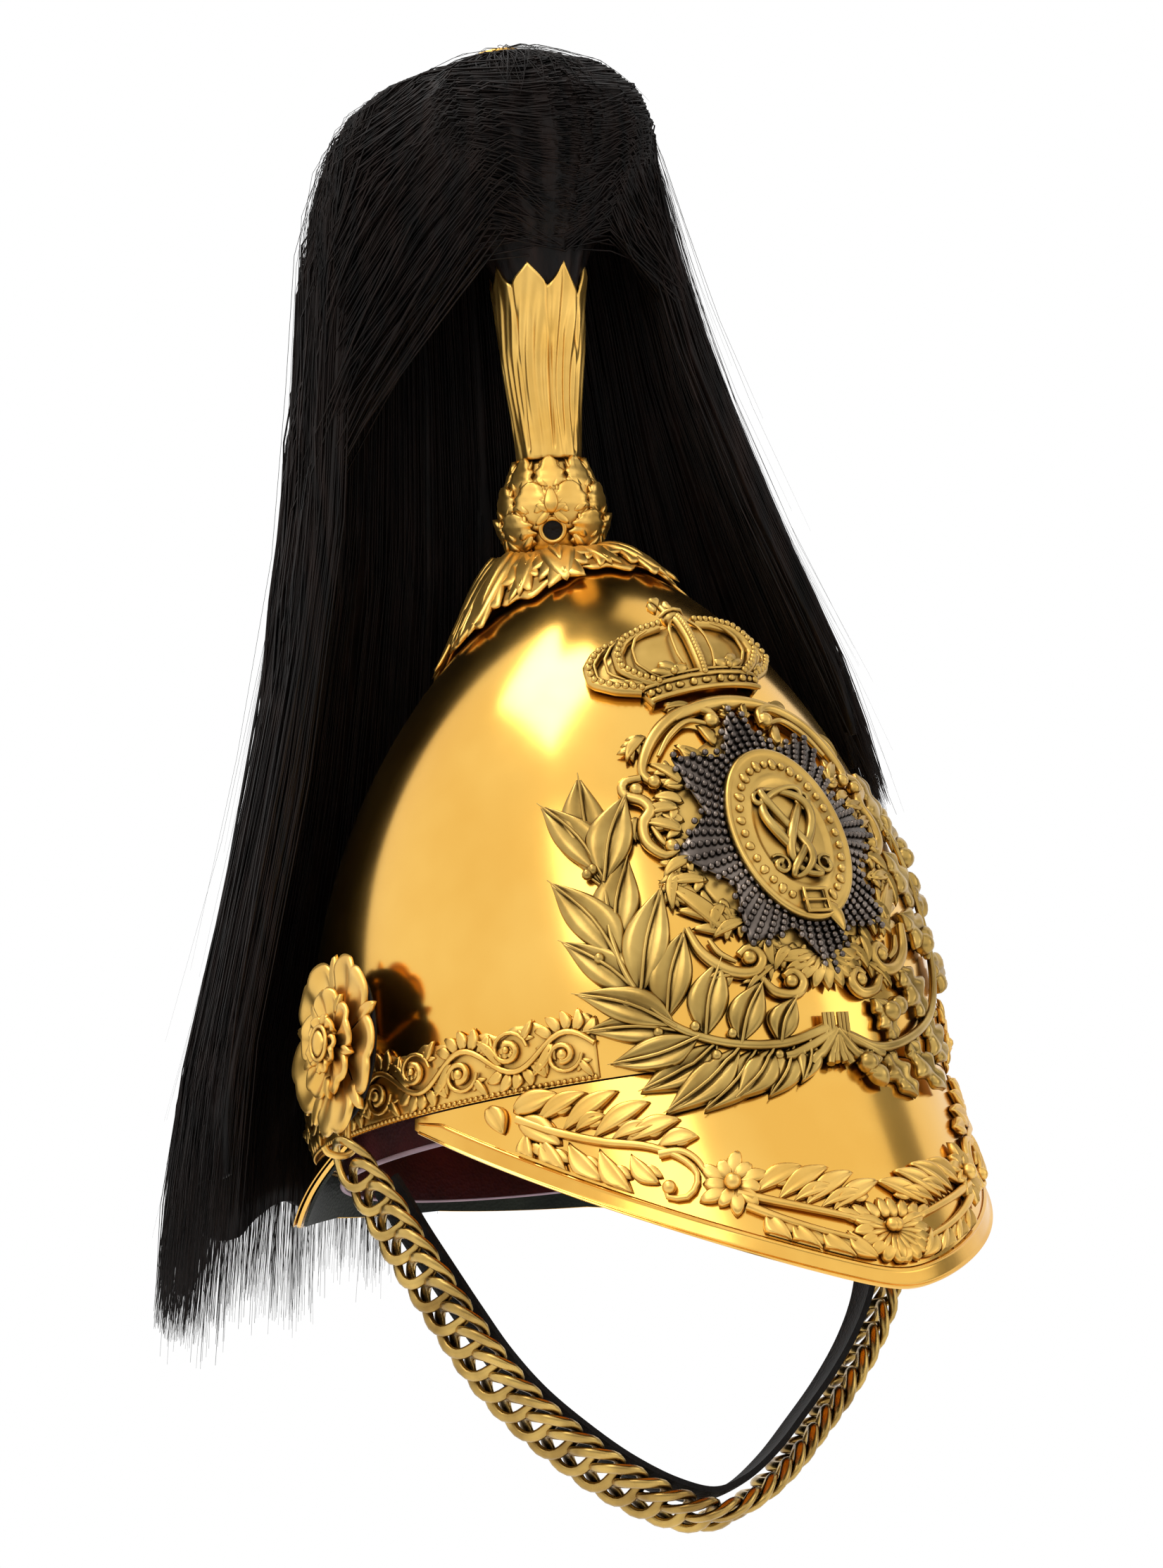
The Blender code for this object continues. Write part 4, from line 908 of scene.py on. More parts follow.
def crownPiece():
    bm = bmesh.new()
    look = crownLook
    heights, widths, bulges = zip(*look["profile"])

    def local(x, z, lift):     # across and up from the middle of the crown's foot, turned with its lean
        c, s = math.cos(look["lean"]), math.sin(look["lean"])
        return frontChart(look["middle"] + c * x - s * z, look["foot"] + s * x + c * z, lift)

    def at(side, rise, lift):     # side -1 to 1 across, rise 0 to 1 up the crown
        x = look["half"] * lerpTable(heights, widths, min(max(rise, 0), 1)) * math.sin(side * math.pi / 2)
        deep = lerpTable(heights, bulges, min(max(rise, 0), 1))
        z = look["tall"] * rise + look["bow"] * (1 - (x / look["half"]) ** 2) * (1 - rise)
        return local(x, z, 1.6 + look["bulge"] * deep * math.cos(side * math.pi / 2) * 0.9 + lift)

    def flat(a, b, lift):      # a in twentieths of the half width, b in twenty-eighths of the height
        return at(a / 20, b / 28, lift)

    def body(u, v):
        side = 2 * u - 1
        rise = v * 0.97
        band = 0.9 if rise < 0.22 else -1.2 - 0.8 * abs(math.sin(side * 7.5))
        return at(side, rise, band) if 0.02 < u < 0.98 else at(side, rise, -1.5)
    bentSheet(bm, 60, 32, body, 0.8)
    runs = []
    for level, thick in ((0.02, 0.85), (0.20, 0.85), (0.26, 0.5)):
        runs.append(([at(-1 + 2 * i / 30, level, 1.2) for i in range(31)], [thick] * 31, False))
    for i in range(13):
        side = -0.92 + 1.84 * i / 12
        if i % 2:
            addBead(bm, at(side, 0.11, 1.2), 1.35)
        else:
            addLeaf(bm, flat, (side * 20 - 1.3, 3.1), (side * 20 + 1.3, 3.1), 2.4, 1.2, base=0.9, rib=0.0,
                    rounds=8, rings=6)
    foot = [local(-18.5 + 37 * i / 24, -4.6 + look["bow"] * (1 - (-1 + i / 12) ** 2), 2.0) for i in range(25)]
    runs.append((foot, [1.8 + 0.8 * math.sin(math.pi * i / 24) for i in range(25)], False))
    for side in (-1.0, -0.52, 0.0, 0.52, 1.0):      # arches: a strap with pearls between two cords
        wide = 0.12 if abs(side) < 0.9 else 0.2
        inward = -1 if side > 0.9 else 1

        def arch(i, shift, lift, side=side):
            rise = 0.22 + 0.76 * i / 18
            near = 1 - 0.12 * (i / 18) ** 3
            return at((side + shift) * near, rise, lift)
        middle = 0.0 if abs(side) < 0.9 else inward * wide * 0.55
        strap = [arch(i, middle, 0.1) for i in range(19)]
        runs.append((strap, [2.1] * 19, False))
        for shift in (-wide, wide) if abs(side) < 0.9 else (0.0, inward * wide * 1.1):
            runs.append(([arch(i, shift, 0.6) for i in range(19)], [0.55] * 19, False))
        for spot in smoothRun([arch(i, middle, 1.9) for i in range(19)], 19):
            addBead(bm, spot, 1.15, 8, 5)
    for side in (-0.76, -0.26, 0.26, 0.76):           # crosses and lilies standing on the band
        for aim in (-1, 0, 1):
            tip = (side * 20 + aim * 3.0, 13.2 - 2.4 * abs(aim))
            addLeaf(bm, flat, (side * 20, 6.4), tip, 2.8, 2.6, base=0.0, rib=0.3, rounds=8, rings=6)
        addBead(bm, flat(side * 20, 8.0, 1.4), 1.3)
    top = look["tall"] + 2.0
    lift = look["bulge"] * 0.9
    addBead(bm, local(0, top, lift), 3.1, 16, 10)
    runs.append(([local(0, top - 3, lift - 0.5), local(0, top + 4, lift)], [2.0, 1.1], False))
    hoop = [local(3.7 * math.cos(t), top, lift + 3.7 * math.sin(t)) for t in (0.2, 0.9, 1.57, 2.2, 2.9)]
    runs.append((hoop, [0.6] * 5, False))
    for dx, dz in ((0, 1), (-1, 0), (1, 0)):
        addLeaf(bm, local, (dx * 0.4, top + 4.4 + dz * 0.3), (dx * 3.6, top + 4.4 + dz * 3.6), 3.6, 2.0,
                base=lift - 1.0, rib=0.2, fat=1.5)
    addTubes(bm, runs, 2)
    return finishPiece("crownRelief", bm, castGilt, ("crown",))


crownPiece()
print("crown made")


# ---- peak ornament: laurel, feathered fronds and a shell at the tip
# Places are in millimetres round from the front and down from the skull
peakLook = {
    "laurel": [(103, 5.7, 88, 2.6, 7.5), (111, 2.4, 106, 12.0, 6.5), (101, 8.3, 88, 18.5, 8.0)],
    "stems": [[(101, 8.3), (90, 14), (76, 19.5), (63, 23), (54, 28), (50, 34), (53, 40), (59, 39),
              (58, 34.5)], [(60, 26), (54, 26), (50, 29), (47.5, 34)], [(40, 41), (31, 44.5), (20, 48.5),
              (10, 52), (3, 54)], [(38, 45), (30, 50), (20, 55), (10, 59)]],
    "fingers": [(96, 11, 83, 5.0, 4.6), (88, 15, 74, 6.4, 5.0), (79, 18.5, 65, 11.0, 5.0),
                (70, 21.5, 56.5, 17.0, 5.0), (61, 24, 51, 22.5, 4.6), (94, 14, 88, 25, 5.0),
                (86, 17.5, 78, 29, 5.0), (77, 21, 70, 34, 5.2), (68, 24, 62, 33, 4.4),
                (98, 12, 97, 21, 4.4), (84, 15.5, 76, 12.5, 3.6), (74, 20, 63, 17.5, 3.6),
                (36, 42, 24, 35.8, 4.8), (30, 44.5, 17, 37.0, 4.8), (23, 47, 10, 39.2, 4.8),
                (16, 49.5, 3, 42.2, 4.6), (33, 46, 29, 55.5, 4.6), (27, 50, 22, 59.5, 4.6),
                (20, 53.5, 14, 62.5, 4.4), (13, 55, 8, 63, 4.2), (26, 45.5, 16, 42.5, 3.4),
                (19, 48, 8, 45.0, 3.4)],
    "palmette": (41, 37.6, 10.5), "shell": (0.6, 56.0, 11.5)}


def peakSpray(name, node, sign):
    bm = bmesh.new()
    runs = []

    def chart(a, d, lift):     # kept inside the border
        room = peakEdge(math.radians(abs(a) / perDegree)) - peak["border"] - 0.8
        return peakChart(sign * a / perDegree, min(d, max(room, 3.0)), lift)
    for a0, d0, a1, d1, wide in peakLook["laurel"]:
        addLeaf(bm, chart, (a0, d0), (a1, d1), wide, 2.4, base=0.6, rib=0.55, rounds=16, rings=12, bend=0.8)
    for points in peakLook["stems"]:
        line = smoothRun([(a, d, 0) for a, d in points], 30)
        runs.append(([chart(p.x, p.y, 1.5) for p in line],
                     [1.5 - 0.6 * i / 29 for i in range(30)], False))
    for a0, d0, a1, d1, wide in peakLook["fingers"]:
        far = (a1 + (a1 - a0) * 0.28, d1 + (d1 - d0) * 0.22)
        addLeaf(bm, chart, (a0, d0), far, wide * 1.25, 2.5, bend=1.7 if d1 < d0 else -1.7, base=0.7, rib=0.6,
                fat=1.1, rounds=14, rings=12, tipLift=0.6, sharp=1.05, groove=0.36)
        mid = ((a0 + a1) / 2, (d0 + d1) / 2)
        tip = (mid[0] - 5.6, mid[1] + (4.6 if d1 > d0 else -0.8))
        addLeaf(bm, chart, mid, tip, wide * 0.8, 1.8, base=0.8, rib=0.4, rounds=8, rings=7)
    a, d, size = peakLook["palmette"]
    for k in range(11):
        aim = 2 * math.pi * k / 11
        reach = size * (1.0 if k % 2 == 0 else 0.78)
        addLeaf(bm, chart, (a, d), (a + reach * math.sin(aim), d + reach * math.cos(aim)), 4.6, 2.4, base=0.8,
                rib=0.45, fat=1.2, bend=0.6, rounds=10, rings=9, tipLift=0.6)
    addBead(bm, chart(a, d, 2.8), 2.6, 12, 8)
    addBead(bm, chart(58, 36.5, 1.8), 2.2, 12, 8)
    a, d, size = peakLook["shell"]
    for k in range(6):         # half of the shell at the peak's tip
        aim = math.radians(k * 22 + 2)
        addLeaf(bm, chart, (a, d), (a + size * math.sin(aim), d + size * math.cos(aim)), 4.8, 2.7, base=0.8,
                rib=0.5, fat=1.25, rounds=10, rings=9)
    addBead(bm, chart(a, d - 1.0, 2.4), 2.2, 12, 8)
    for k in range(4):
        tip = (a + 1.0 + 4.4 * k, d - 10.5 + 0.9 * k)
        addLeaf(bm, chart, (a + 0.5 + 2.4 * k, d - 3), tip, 3.6, 2.2, base=0.7, rib=0.4, rounds=10, rings=8)
    addTubes(bm, runs, 2)
    return finishPiece(name, bm, satinGilt, (node,))


peakSpray("peakSprayRight", "peak_spray_right", 1)
peakSpray("peakSprayLeft", "peak_spray_left", -1)
print("peak ornament made")

# ---- stem: leaf base, ball and socket; each round of leaves on the ball has a start, a reach and a width
stemLook = {"baseReach": 50.0, "collar": 16.5, "perRadian": 14.0, "hole": 3.2, "holeUp": 8.0,
            "ups": (0.0, 0.10, 0.30, 0.52, 0.78, 1.0), "widths": (0.60, 0.80, 0.93, 0.97, 0.84, 0.62),
            "rounds": ((15.5, 17.0, 12.5), (7.5, 16.5, 13.5), (0.4, 14.0, 13.5))}


def leafBase():
    bm = bmesh.new()

    def domed(turn, out, lift):     # round the stem, turn in radians from the front
        x, y = out * math.sin(turn), stem["back"] - out * math.cos(turn)
        spot = topChart(x, y, 1.6 + lift)
        share = max(0.0, 1 - max(out - stemLook["collar"], 0) / (0.45 * stemLook["baseReach"])) ** 1.6
        flat = stemPoint(out * math.sin(turn), -out * math.cos(turn), -0.3 + lift)
        return spot.lerp(Vector((spot.x, spot.y, flat.z)), share)

    def skin(u, v):
        turn = u * 2 * math.pi
        reach = 37 + 2.0 * math.cos(8 * turn) + 1.0 * math.cos(24 * turn)
        return domed(turn, 6.0 + (reach - 6.0) * v, 0.4)
    bentSheet(bm, 160, 16, skin, 0.8, closed=True)
    for k in range(16):
        turn = 2 * math.pi * k / 16 + 0.28
        large = k % 2 == 0
        reach = (43.5 if k % 4 == 0 else 41.0) if large else 37.5

        def chart(a, r, lift, turn=turn):
            return domed(turn + a / max(r, 9.0), r, lift)
        acanthus(bm, chart, (0, 14.0), (0, reach), 25.0 if large else 17.0, 2.0 if large else 1.7,
                 base=1.1 if large else 0.6, pairs=4)
        if large:
            addLeaf(bm, chart, (0, 15.5), (0, reach - 9), 4.0, 2.0, base=2.4, rib=0.5, rounds=10, rings=9)
    return finishPiece("leafCollar", bm, satinGilt, ("plume_base",))


def stemBall():
    bm = bmesh.new()
    radius, tall = stem["ballRadius"], stem["ball"]

    def chart(turn, up, lift):
        r = radius * lerpTable(stemLook["ups"], stemLook["widths"], min(max(up / tall, 0), 1)) - 1.2 + lift
        return stemPoint(r * math.sin(turn), -r * math.cos(turn), up)

    def skin(u, v):
        return chart(u * 2 * math.pi, 0.3 + (tall - 0.3) * v, 0.0)
    bentSheet(bm, 96, 24, skin, 1.0, closed=True)
    holeTurn = math.atan2(towardCamera.x, -towardCamera.y)

    def flat(a, up, lift):
        return chart(a / stemLook["perRadian"], up, lift)
    for ring, (start, reach, wide) in enumerate(stemLook["rounds"]):
        for k in range(8):
            turn = holeTurn + 2 * math.pi * (k + 0.5 * (ring == 1)) / 8
            if ring == 2 and k == 0:
                continue
            a = turn * stemLook["perRadian"]
            addLeaf(bm, flat, (a, start), (a, start + reach), wide, 1.6, base=0.2 + 0.7 * ring, lobes=5,
                    rib=0.5, lobeDepth=0.24, fat=0.95, rounds=14, rings=24, tipLift=2.4, sharp=0.75)
            for side in (-1, 1):      # fingers along each side
                for step in (0.12, 0.34, 0.56):
                    low = start + reach * step
                    tip = (a + side * (5.6 - 3.4 * step), low + reach * 0.36)
                    addLeaf(bm, flat, (a + side * 0.6, low), tip, 2.6, 1.3, base=1.1 + 0.7 * ring, rib=0.35,
                            bend=-side * 0.7, rounds=8, rings=7)
    a = holeTurn * stemLook["perRadian"]
    acanthus(bm, flat, (a, 12.6), (a, 22.0), 9.0, 2.0, base=1.8, pairs=3, tipLift=1.0)
    addTubes(bm, [ringRun(flat, (a, stemLook["holeUp"]), 3.6, 1.2, 0.8, 24)], 2)
    finishPiece("acanthusBall", bm, satinGilt, ("plume_ball",))
    bm = bmesh.new()           # the screw hole: a shallow cup in its ring, painted black as the shade inside the hole

    def cup(u, v):
        t = u * 2 * math.pi
        r = max(stemLook["hole"] * v, 0.02)
        return flat(a + r * math.cos(t), stemLook["holeUp"] + r * math.sin(t), 0.25 + 0.5 * v)
    bentSheet(bm, 28, 6, cup, 0.2, closed=True)
    finishPiece("screwHoleShade", bm, blackLeatherAndShade)


def stemSocket():
    bm = bmesh.new()
    foot = stem["ball"] + 0.3
    ups = (0.0, 0.25, 0.55, 0.82, 1.0)
    radii = (10.5, 11.5, 13.5, 14.4, 15.5)

    def chart(turn, up, lift):
        r = lerpTable(ups, radii, min(max(up / stem["socket"], 0), 1)) + lift
        return stemPoint(r * math.sin(turn), -r * math.cos(turn), foot + up)

    def skin(u, v):
        turn = u * 2 * math.pi
        tooth = (turn * 8 / (2 * math.pi)) % 1.0
        top = stem["socket"] - 11.0 * (1 - abs(2 * tooth - 1)) ** 0.8 * (0.75 + 0.25 * math.sin(turn * 3 + 1))
        flute = 0.75 * abs(math.sin(turn * 4)) - 0.8 * math.exp(-((tooth - 0.5) / 0.05) ** 2) * (v > 0.06)
        bark = 0.35 * math.sin(turn * 29 + 5 * math.sin(v * 4)) * math.sin(v * math.pi)
        flutter = 0.9 * v ** 4
        return chart(turn, top * v, flute + bark + flutter - 0.9)
    bentSheet(bm, 176, 48, skin, 1.1, closed=True)
    return finishPiece("leafSocket", bm, satinGilt, ("plume_socket",))


leafBase()
stemBall()
stemSocket()
print("stem made")


# ---- side roses: two rounds of five curled petals, with barbs between and a boss
def roseFrame(sign):
    middle = Vector((sign * (skull["width"] + rose["stand"]), rose["back"], rose["height"]))
    face = (Matrix.Rotation(-sign * math.radians(rose["tilt"]), 3, "Y")
            @ Matrix.Rotation(sign * math.radians(rose["turn"]), 3, "Z"))
    out = (face @ Vector((sign, 0, 0))).normalized()
    right = Vector((0, 0, 1)).cross(out).normalized()
    return middle, out, right, out.cross(right)


def sideRose(name, node, sign):
    middle, out, right, up = roseFrame(sign)
    bm = bmesh.new()

    def chart(x, y, lift):
        return middle + right * x + up * y + out * lift

    def petals(radius, low, lipHigh, phase):
        def place(u, v):
            turn = u * 2 * math.pi
            share = ((turn - phase) * 5 / (2 * math.pi)) % 1.0
            off = abs(2 * share - 1)               # 1 between petals, 0 in a petal's middle
            notch = 1 - 0.27 * off ** 4 - 0.05 * math.exp(-((share - 0.5) / 0.05) ** 2)
            r = max(radius * v * notch, 0.02)
            bowl = lipHigh * (v ** 3) * (1 - 0.55 * off ** 3)
            valley = -1.9 * math.exp(-((off - 1) / 0.10) ** 2) * min(v * 2.2, 1)
            fold = 0.6 * math.sin(share * 2 * math.pi * 2 + 0.6) * v * (1.15 - v) * 3
            roll = -1.7 * max(v - 0.93, 0) / 0.07
            return chart(r * math.sin(turn), r * math.cos(turn), low + bowl + valley + fold + roll)
        bentSheet(bm, 110, 18, place, 0.7, closed=True)
    petals(rose["radius"], 1.2, 3.4, 0.0)
    petals(17.5, 3.9, 2.8, math.pi / 5)
    petals(9.5, 6.2, 1.8, 0.0)
    for k in range(5):
        for radius, low in ((rose["radius"], 0.8), (17.5, 3.6)):
            turn = 2 * math.pi * (k + (0 if radius > 20 else 0.5)) / 5
            root = (radius * 0.55 * math.sin(turn), radius * 0.55 * math.cos(turn))
            tip = (radius * 0.99 * math.sin(turn), radius * 0.99 * math.cos(turn))
            addLeaf(bm, chart, root, tip, radius * 0.2, 2.0, base=low, rib=0.35, tipLift=0.6)
    addLeaf(bm, chart, (-4.2, 0), (4.2, 0), 8.4, 2.6, base=6.6, rib=0.0, fat=1.0, rounds=24, rings=16)
    runs = [ringRun(chart, (0, 0), 5.2, 7.4, 0.7, 30)]
    hook, reach = rose["hook"], rose["reach"]
    behind = 1.8 * hook
    bend = [middle - out * behind]
    for deep, fall in ((-1.0 * behind, 0.1), (-1.9 * behind, 0.62), (-1.4 * hook, 1.0), (1.6 * hook, 1.06),
                       (4.4 * hook, 0.92), (5.6 * hook, 0.6)):
        bend.append(middle + out * deep - up * (rose["radius"] + reach * fall))
    smooth = [bend[0]] + smoothRun(bend[1:], 24)
    runs.append((smooth, [hook] * len(smooth), False))
    wall = liftOff(skullRing(-sign * (math.pi / 2 + rose["back"] / skull["length"]), 1.12 * 22 + 3.1), 0.3)
    runs.append(([wall, middle + out], [2.5, 2.5], False))
    addTubes(bm, runs, 3)
    finishPiece(name, bm, satinGilt, (node,))
    # A black disc behind the rose: painted shade for the dark gap between rose and skull, which also darkens
    # the rose's reflection in the skull
    bm = bmesh.new()

    def shadeBacking(u, v):
        turn = u * 2 * math.pi
        reach = 0.88 * rose["radius"] * max(v, 0.02)
        return chart(reach * math.sin(turn), reach * math.cos(turn), 0.6)
    bentSheet(bm, 60, 3, shadeBacking, 0.8, closed=True)
    return finishPiece(name + "Back", bm, blackLeatherAndShade)


sideRose("roseRight", "rose_right", -1)
sideRose("roseLeft", "rose_left", 1)
print("roses made")

# ---- chin chain on its leather
chain = {"pitch": 8.6, "wide": 9.6, "wire": 2.15, "flat": 0.66, "twist": math.radians(40),
         "turn": math.radians(8), "strap": 13.0,
         "route": [(-95.0, 1.6, -20.0), (-90.4, -3.4, -35.0), (-85.0, -8.2, -49.5),
                   (-78.4, -11.2, -63.5), (-69.8, -11.8, -77.0), (-58.6, -12.0, -90.0),
                   (-45.4, -13.2, -102.0), (-31.0, -15.6, -113.5), (-15.5, -18.2, -122.5),
                   (0.0, -19.0, -126.5)]}


def hookSeat(sign):
    middle, out, _, up = roseFrame(sign)
    bend = middle - out * 1.4 * rose["hook"] - up * (rose["radius"] + rose["reach"])
    first = chain["route"][0]
    along = (Vector((-sign * first[0], first[1], first[2])) - bend).normalized()
    return bend + along * 2.8


def chainFrames(count):
    half = [hookSeat(-1)] + [Vector(p) for p in chain["route"]]
    line = smoothRun(half + [Vector((-p.x, p.y, p.z)) for p in reversed(half[:-1])], count)
    frames = []
    for i, spot in enumerate(line):
        along = (line[min(i + 1, count - 1)] - line[max(i - 1, 0)]).normalized()
        back = Vector((0, 1, 0))
        back = (back - along * back.dot(along)).normalized()
        out = back.cross(along).normalized()
        if out.dot(spot - Vector((0, 0, -20))) < 0:
            out = -out
        tilt = Matrix.Rotation(chain["turn"], 3, along)
        if (tilt @ out).y > out.y:
            tilt = Matrix.Rotation(-chain["turn"], 3, along)
        frames.append((spot, along, tilt @ back, tilt @ out))
    return frames


def chinChain():
    line = chainFrames(160)
    length = sum((b[0] - a[0]).length for a, b in zip(line, line[1:]))
    links = round(length / chain["pitch"]) + 1
    frames = chainFrames(links)
    runs = []
    for i, (spot, along, across, out) in enumerate(frames):
        size = 0.74 + 0.26 * math.sin(i / (links - 1) * math.pi) ** 0.7
        half = chain["pitch"] / 2 + chain["wire"] * 1.55
        points, radii = [], []
        for step in range(28):
            turn = 2 * math.pi * step / 28
            side = chain["wide"] * size * math.sin(turn)
            twist = chain["twist"] * math.cos(turn)
            squareness = 1 + 0.12 * math.sin(2 * turn) ** 2
            points.append(spot + along * half * squareness * math.cos(turn)
                          + across * side * squareness * math.cos(twist) + out * side * math.sin(twist))
            radii.append(chain["wire"] * size * (0.92 + 0.10 * math.sin(turn) ** 2))
        runs.append((points, radii, True))
    bm = bmesh.new()
    addTubes(bm, runs, 3)
    bm.verts.ensure_lookup_table()
    each = len(bm.verts) // links
    for i, (spot, _, _, out) in enumerate(frames):     # the wire is flattened, as in a rolled curb chain
        for vert in bm.verts[i * each:(i + 1) * each]:
            vert.co -= out * (vert.co - spot).dot(out) * (1 - chain["flat"])
    return finishPiece("curbLinks", bm, chainBrass, ("chin_chain",))


def chinStrap():
    bm = bmesh.new()
    frames = chainFrames(160)[5:-5]
    near = chain["wire"] + chain["wide"] * math.sin(chain["twist"]) * 0.5 + 0.3

    def place(u, v):
        spot, _, across, out = frames[round(u * (len(frames) - 1))]
        crown = 0.5 * (1 - (2 * v - 1) ** 2)
        return spot + across * chain["strap"] * (v - 0.5) - out * (near - crown)
    bentSheet(bm, len(frames) - 1, 8, place, 1.9)
    return finishPiece("strapBack", bm, blackLeatherAndShade, ("chin_strap",), sharp=50)


chinChain()
chinStrap()
print("chain made")

# ---- plume
plume = {"top": 342.0, "locks": 11, "stand": 9.5, "lean": 5.0,
         "share": (0.0, 0.05, 0.09, 0.13, 0.17, 0.22, 0.28, 0.36, 0.46, 0.62, 0.80, 1.0),
         "reach": (0.04, 0.17, 0.26, 0.33, 0.38, 0.425, 0.455, 0.49, 0.55, 0.71, 0.90, 0.97),
         "height": (0.999, 0.993, 0.982, 0.962, 0.93, 0.88, 0.81, 0.71, 0.58, 0.36, 0.15, 0.0),
         "turns": (70, 58, 40, 18, 0, -8, -40, -62, -76, -102, -128),
         "out": (140, 157, 158, 146, 134, 126, 124, 119, 109, 97, 93),
         "ends": (-36, -47, -52, -38, -22, 18, 18, 30, 80, 84, 94),
         "front": ((0, 342), (14, 340), (27, 334), (36, 323), (38, 311), (34, 298), (26, 286), (17, 276),
                   (12, 262))}


def manePoint(across, fall, lift, longer=0.0):
    turnDeg = plume["turns"][0] + (plume["turns"][-1] - plume["turns"][0]) * across
    turn = math.radians(turnDeg)
    reach = lerpTable(plume["turns"], plume["out"], turnDeg)
    end = lerpTable(plume["turns"], plume["ends"], turnDeg) - longer
    z = end + (plume["top"] - end) * lerpTable(plume["share"], plume["height"], fall)
    out = reach * lerpTable(plume["share"], plume["reach"], fall)
    way = Vector((-math.sin(turn), math.cos(turn), 0))
    spot = Vector((0, 0, z)) + way * (out + lift)
    if z < skull["top"]:
        length, width, _ = ringAt(max(z, 0.0))
        flare = guard["flare"] * max(-z, 0.0)
        wall = 1 / math.sqrt((way.x / (width + flare)) ** 2 + (way.y / (length + flare)) ** 2)
        least = wall + plume["stand"] + min(lift, 0) * 0.2
        if spot.xy.length < least:
            spot = Vector((way.x * least, way.y * least, z))
    return spot


# How far back the dome of hair in front has moved at a height
def domeLean(up):
    return -plume["lean"] * (plume["top"] - up) / 70


# The dome's outline at a place along its table: distance from the middle and height
def domeOutline(at):
    i = min(int(at), len(plume["front"]) - 2)
    (out, up), (nextOut, nextUp) = plume["front"][i:i + 2]
    return out + (nextOut - out) * (at - i), up + (nextUp - up) * (at - i)


def maneMass():
    bm = bmesh.new()

    def place(u, v):
        lock = math.cos(u * plume["locks"] * 2 * math.pi)
        fine = 0.5 * math.sin(u * 160) + 0.4 * math.sin(u * 247 + 3)
        spot = manePoint(u, 0.87 * v, -2.0 + 1.2 * lock * v + fine * min(v * 3, 1))
        if v > 0.96:
            spot.z -= 7 * (0.5 + 0.5 * lock) * (v - 0.96) / 0.04
        return spot
    bentSheet(bm, 150, 44, place, 2.6)

    def fountain(u, v):        # the dome of hair in front, narrowing to the socket's mouth
        out, up = domeOutline(v * (len(plume["front"]) - 1))
        turn = u * 2 * math.pi
        out *= 1 + 0.02 * math.sin(turn * 17) + 0.015 * math.sin(turn * 41)
        return Vector((out * math.sin(turn), domeLean(up) + out * math.cos(turn), up - 1.0))
    bentSheet(bm, 64, 22, fountain, 1.0, closed=True)
    return finishPiece("maneMass", bm, blackHair, ("plume",))


def hairPiece(name, runs):
    mesh = tubeMesh(name, runs, 0)
    bm = bmesh.new()
    bm.from_mesh(mesh)
    bpy.data.meshes.remove(mesh)
    return finishPiece(name, bm, blackHair)


def strands(name, count, lifts, thick, longest, stray=0.0):
    runs = []
    for _ in range(count):
        across = rng.random()
        begin = rng.uniform(0.0, 0.10)
        clump = math.sin(across * 83) + 0.6 * math.sin(across * 197 + 1)     # ends gather in pointed locks
        end = 1.0 - 0.02 * (1.6 - clump) - abs(rng.gauss(0, 0.02)) if not stray else rng.uniform(0.5, 1.0)
        if across > 0.86 and rng.random() < 0.6:
            end -= rng.uniform(0.0, 0.35)
        lift = rng.uniform(*lifts)
        longer = rng.uniform(-4, longest)
        drift = rng.gauss(0, 0.008) + rng.gauss(0, stray * 0.02)
        bow = rng.uniform(-1, 1) * stray
        points = []
        for k in range(8):
            t = (k / 7) ** 1.5        # closer together where the hair bends
            fall = begin + (end - begin) * t
            at = min(max(across + drift * t * t, 0.0), 1.0)
            wave = 0.8 * math.sin(t * 5 + across * 90)
            rise = lift * min(t * 4, 1) + wave * 0.5 + bow * 9 * t * t
            points.append(manePoint(at, fall, rise, longer * t ** 3))
        size = thick * rng.uniform(0.7, 1.2)
        runs.append((points, [size] * 4 + [size * 0.9, size * 0.75, size * 0.5, size * 0.15], False))
    return hairPiece(name, runs)


# A point on the dome of hair in front, turn in radians from the front toward the wearer's left
def domePoint(turn, up, lift):
    outs, ups = zip(*reversed(plume["front"]))
    out = lerpTable(ups, outs, min(max(up, ups[0]), ups[-1])) + lift
    return Vector((out * math.sin(turn), domeLean(up) - out * math.cos(turn), up))


# Hair in front: from a parting down the middle it arches to either side and joins the mane
def frontHair(name, count, thick):
    runs = []
    for i in range(count):
        side = 1 if i % 2 else -1             # -1 falls to the wearer's right
        s = rng.random() ** 0.8
        up = plume["top"] - 1.5 - 60 * s - rng.uniform(0, 9) * s
        across = rng.uniform(0.0, 0.16) if side < 0 else rng.uniform(0.80, 1.0)
        first = 0.13 + 0.25 * s + rng.uniform(0, 0.06)
        last = 1.0 - abs(rng.gauss(0, 0.04)) if rng.random() < 0.7 else rng.uniform(0.6, 0.95)
        lift = rng.uniform(-3, 2.0)
        widest = 1.25 if side < 0 else 0.8
        rise = rng.uniform(3.0, 13.0) * (0.25 + s)
        knots = [domePoint(side * rng.uniform(-0.06, 0.30), up, rng.uniform(0.2, 1.6))]
        for share in (0.35, 0.7, 1.0):
            swell = rise * math.sin(math.pi * share * 0.8) - 4 * share ** 2
            knots.append(domePoint(side * widest * share, up + swell, 1.0 + 5.0 * share * s + 3 * share))
        for share in (first, first + (last - first) * 0.3, first + (last - first) * 0.65, last):
            knots.append(manePoint(across, share, lift))
        points = smoothRun(knots, 12)
        size = thick * rng.uniform(0.7, 1.2)
        runs.append((points, [size] * 8 + [size * 0.85, size * 0.7, size * 0.5, size * 0.15], False))
    return hairPiece(name, runs)


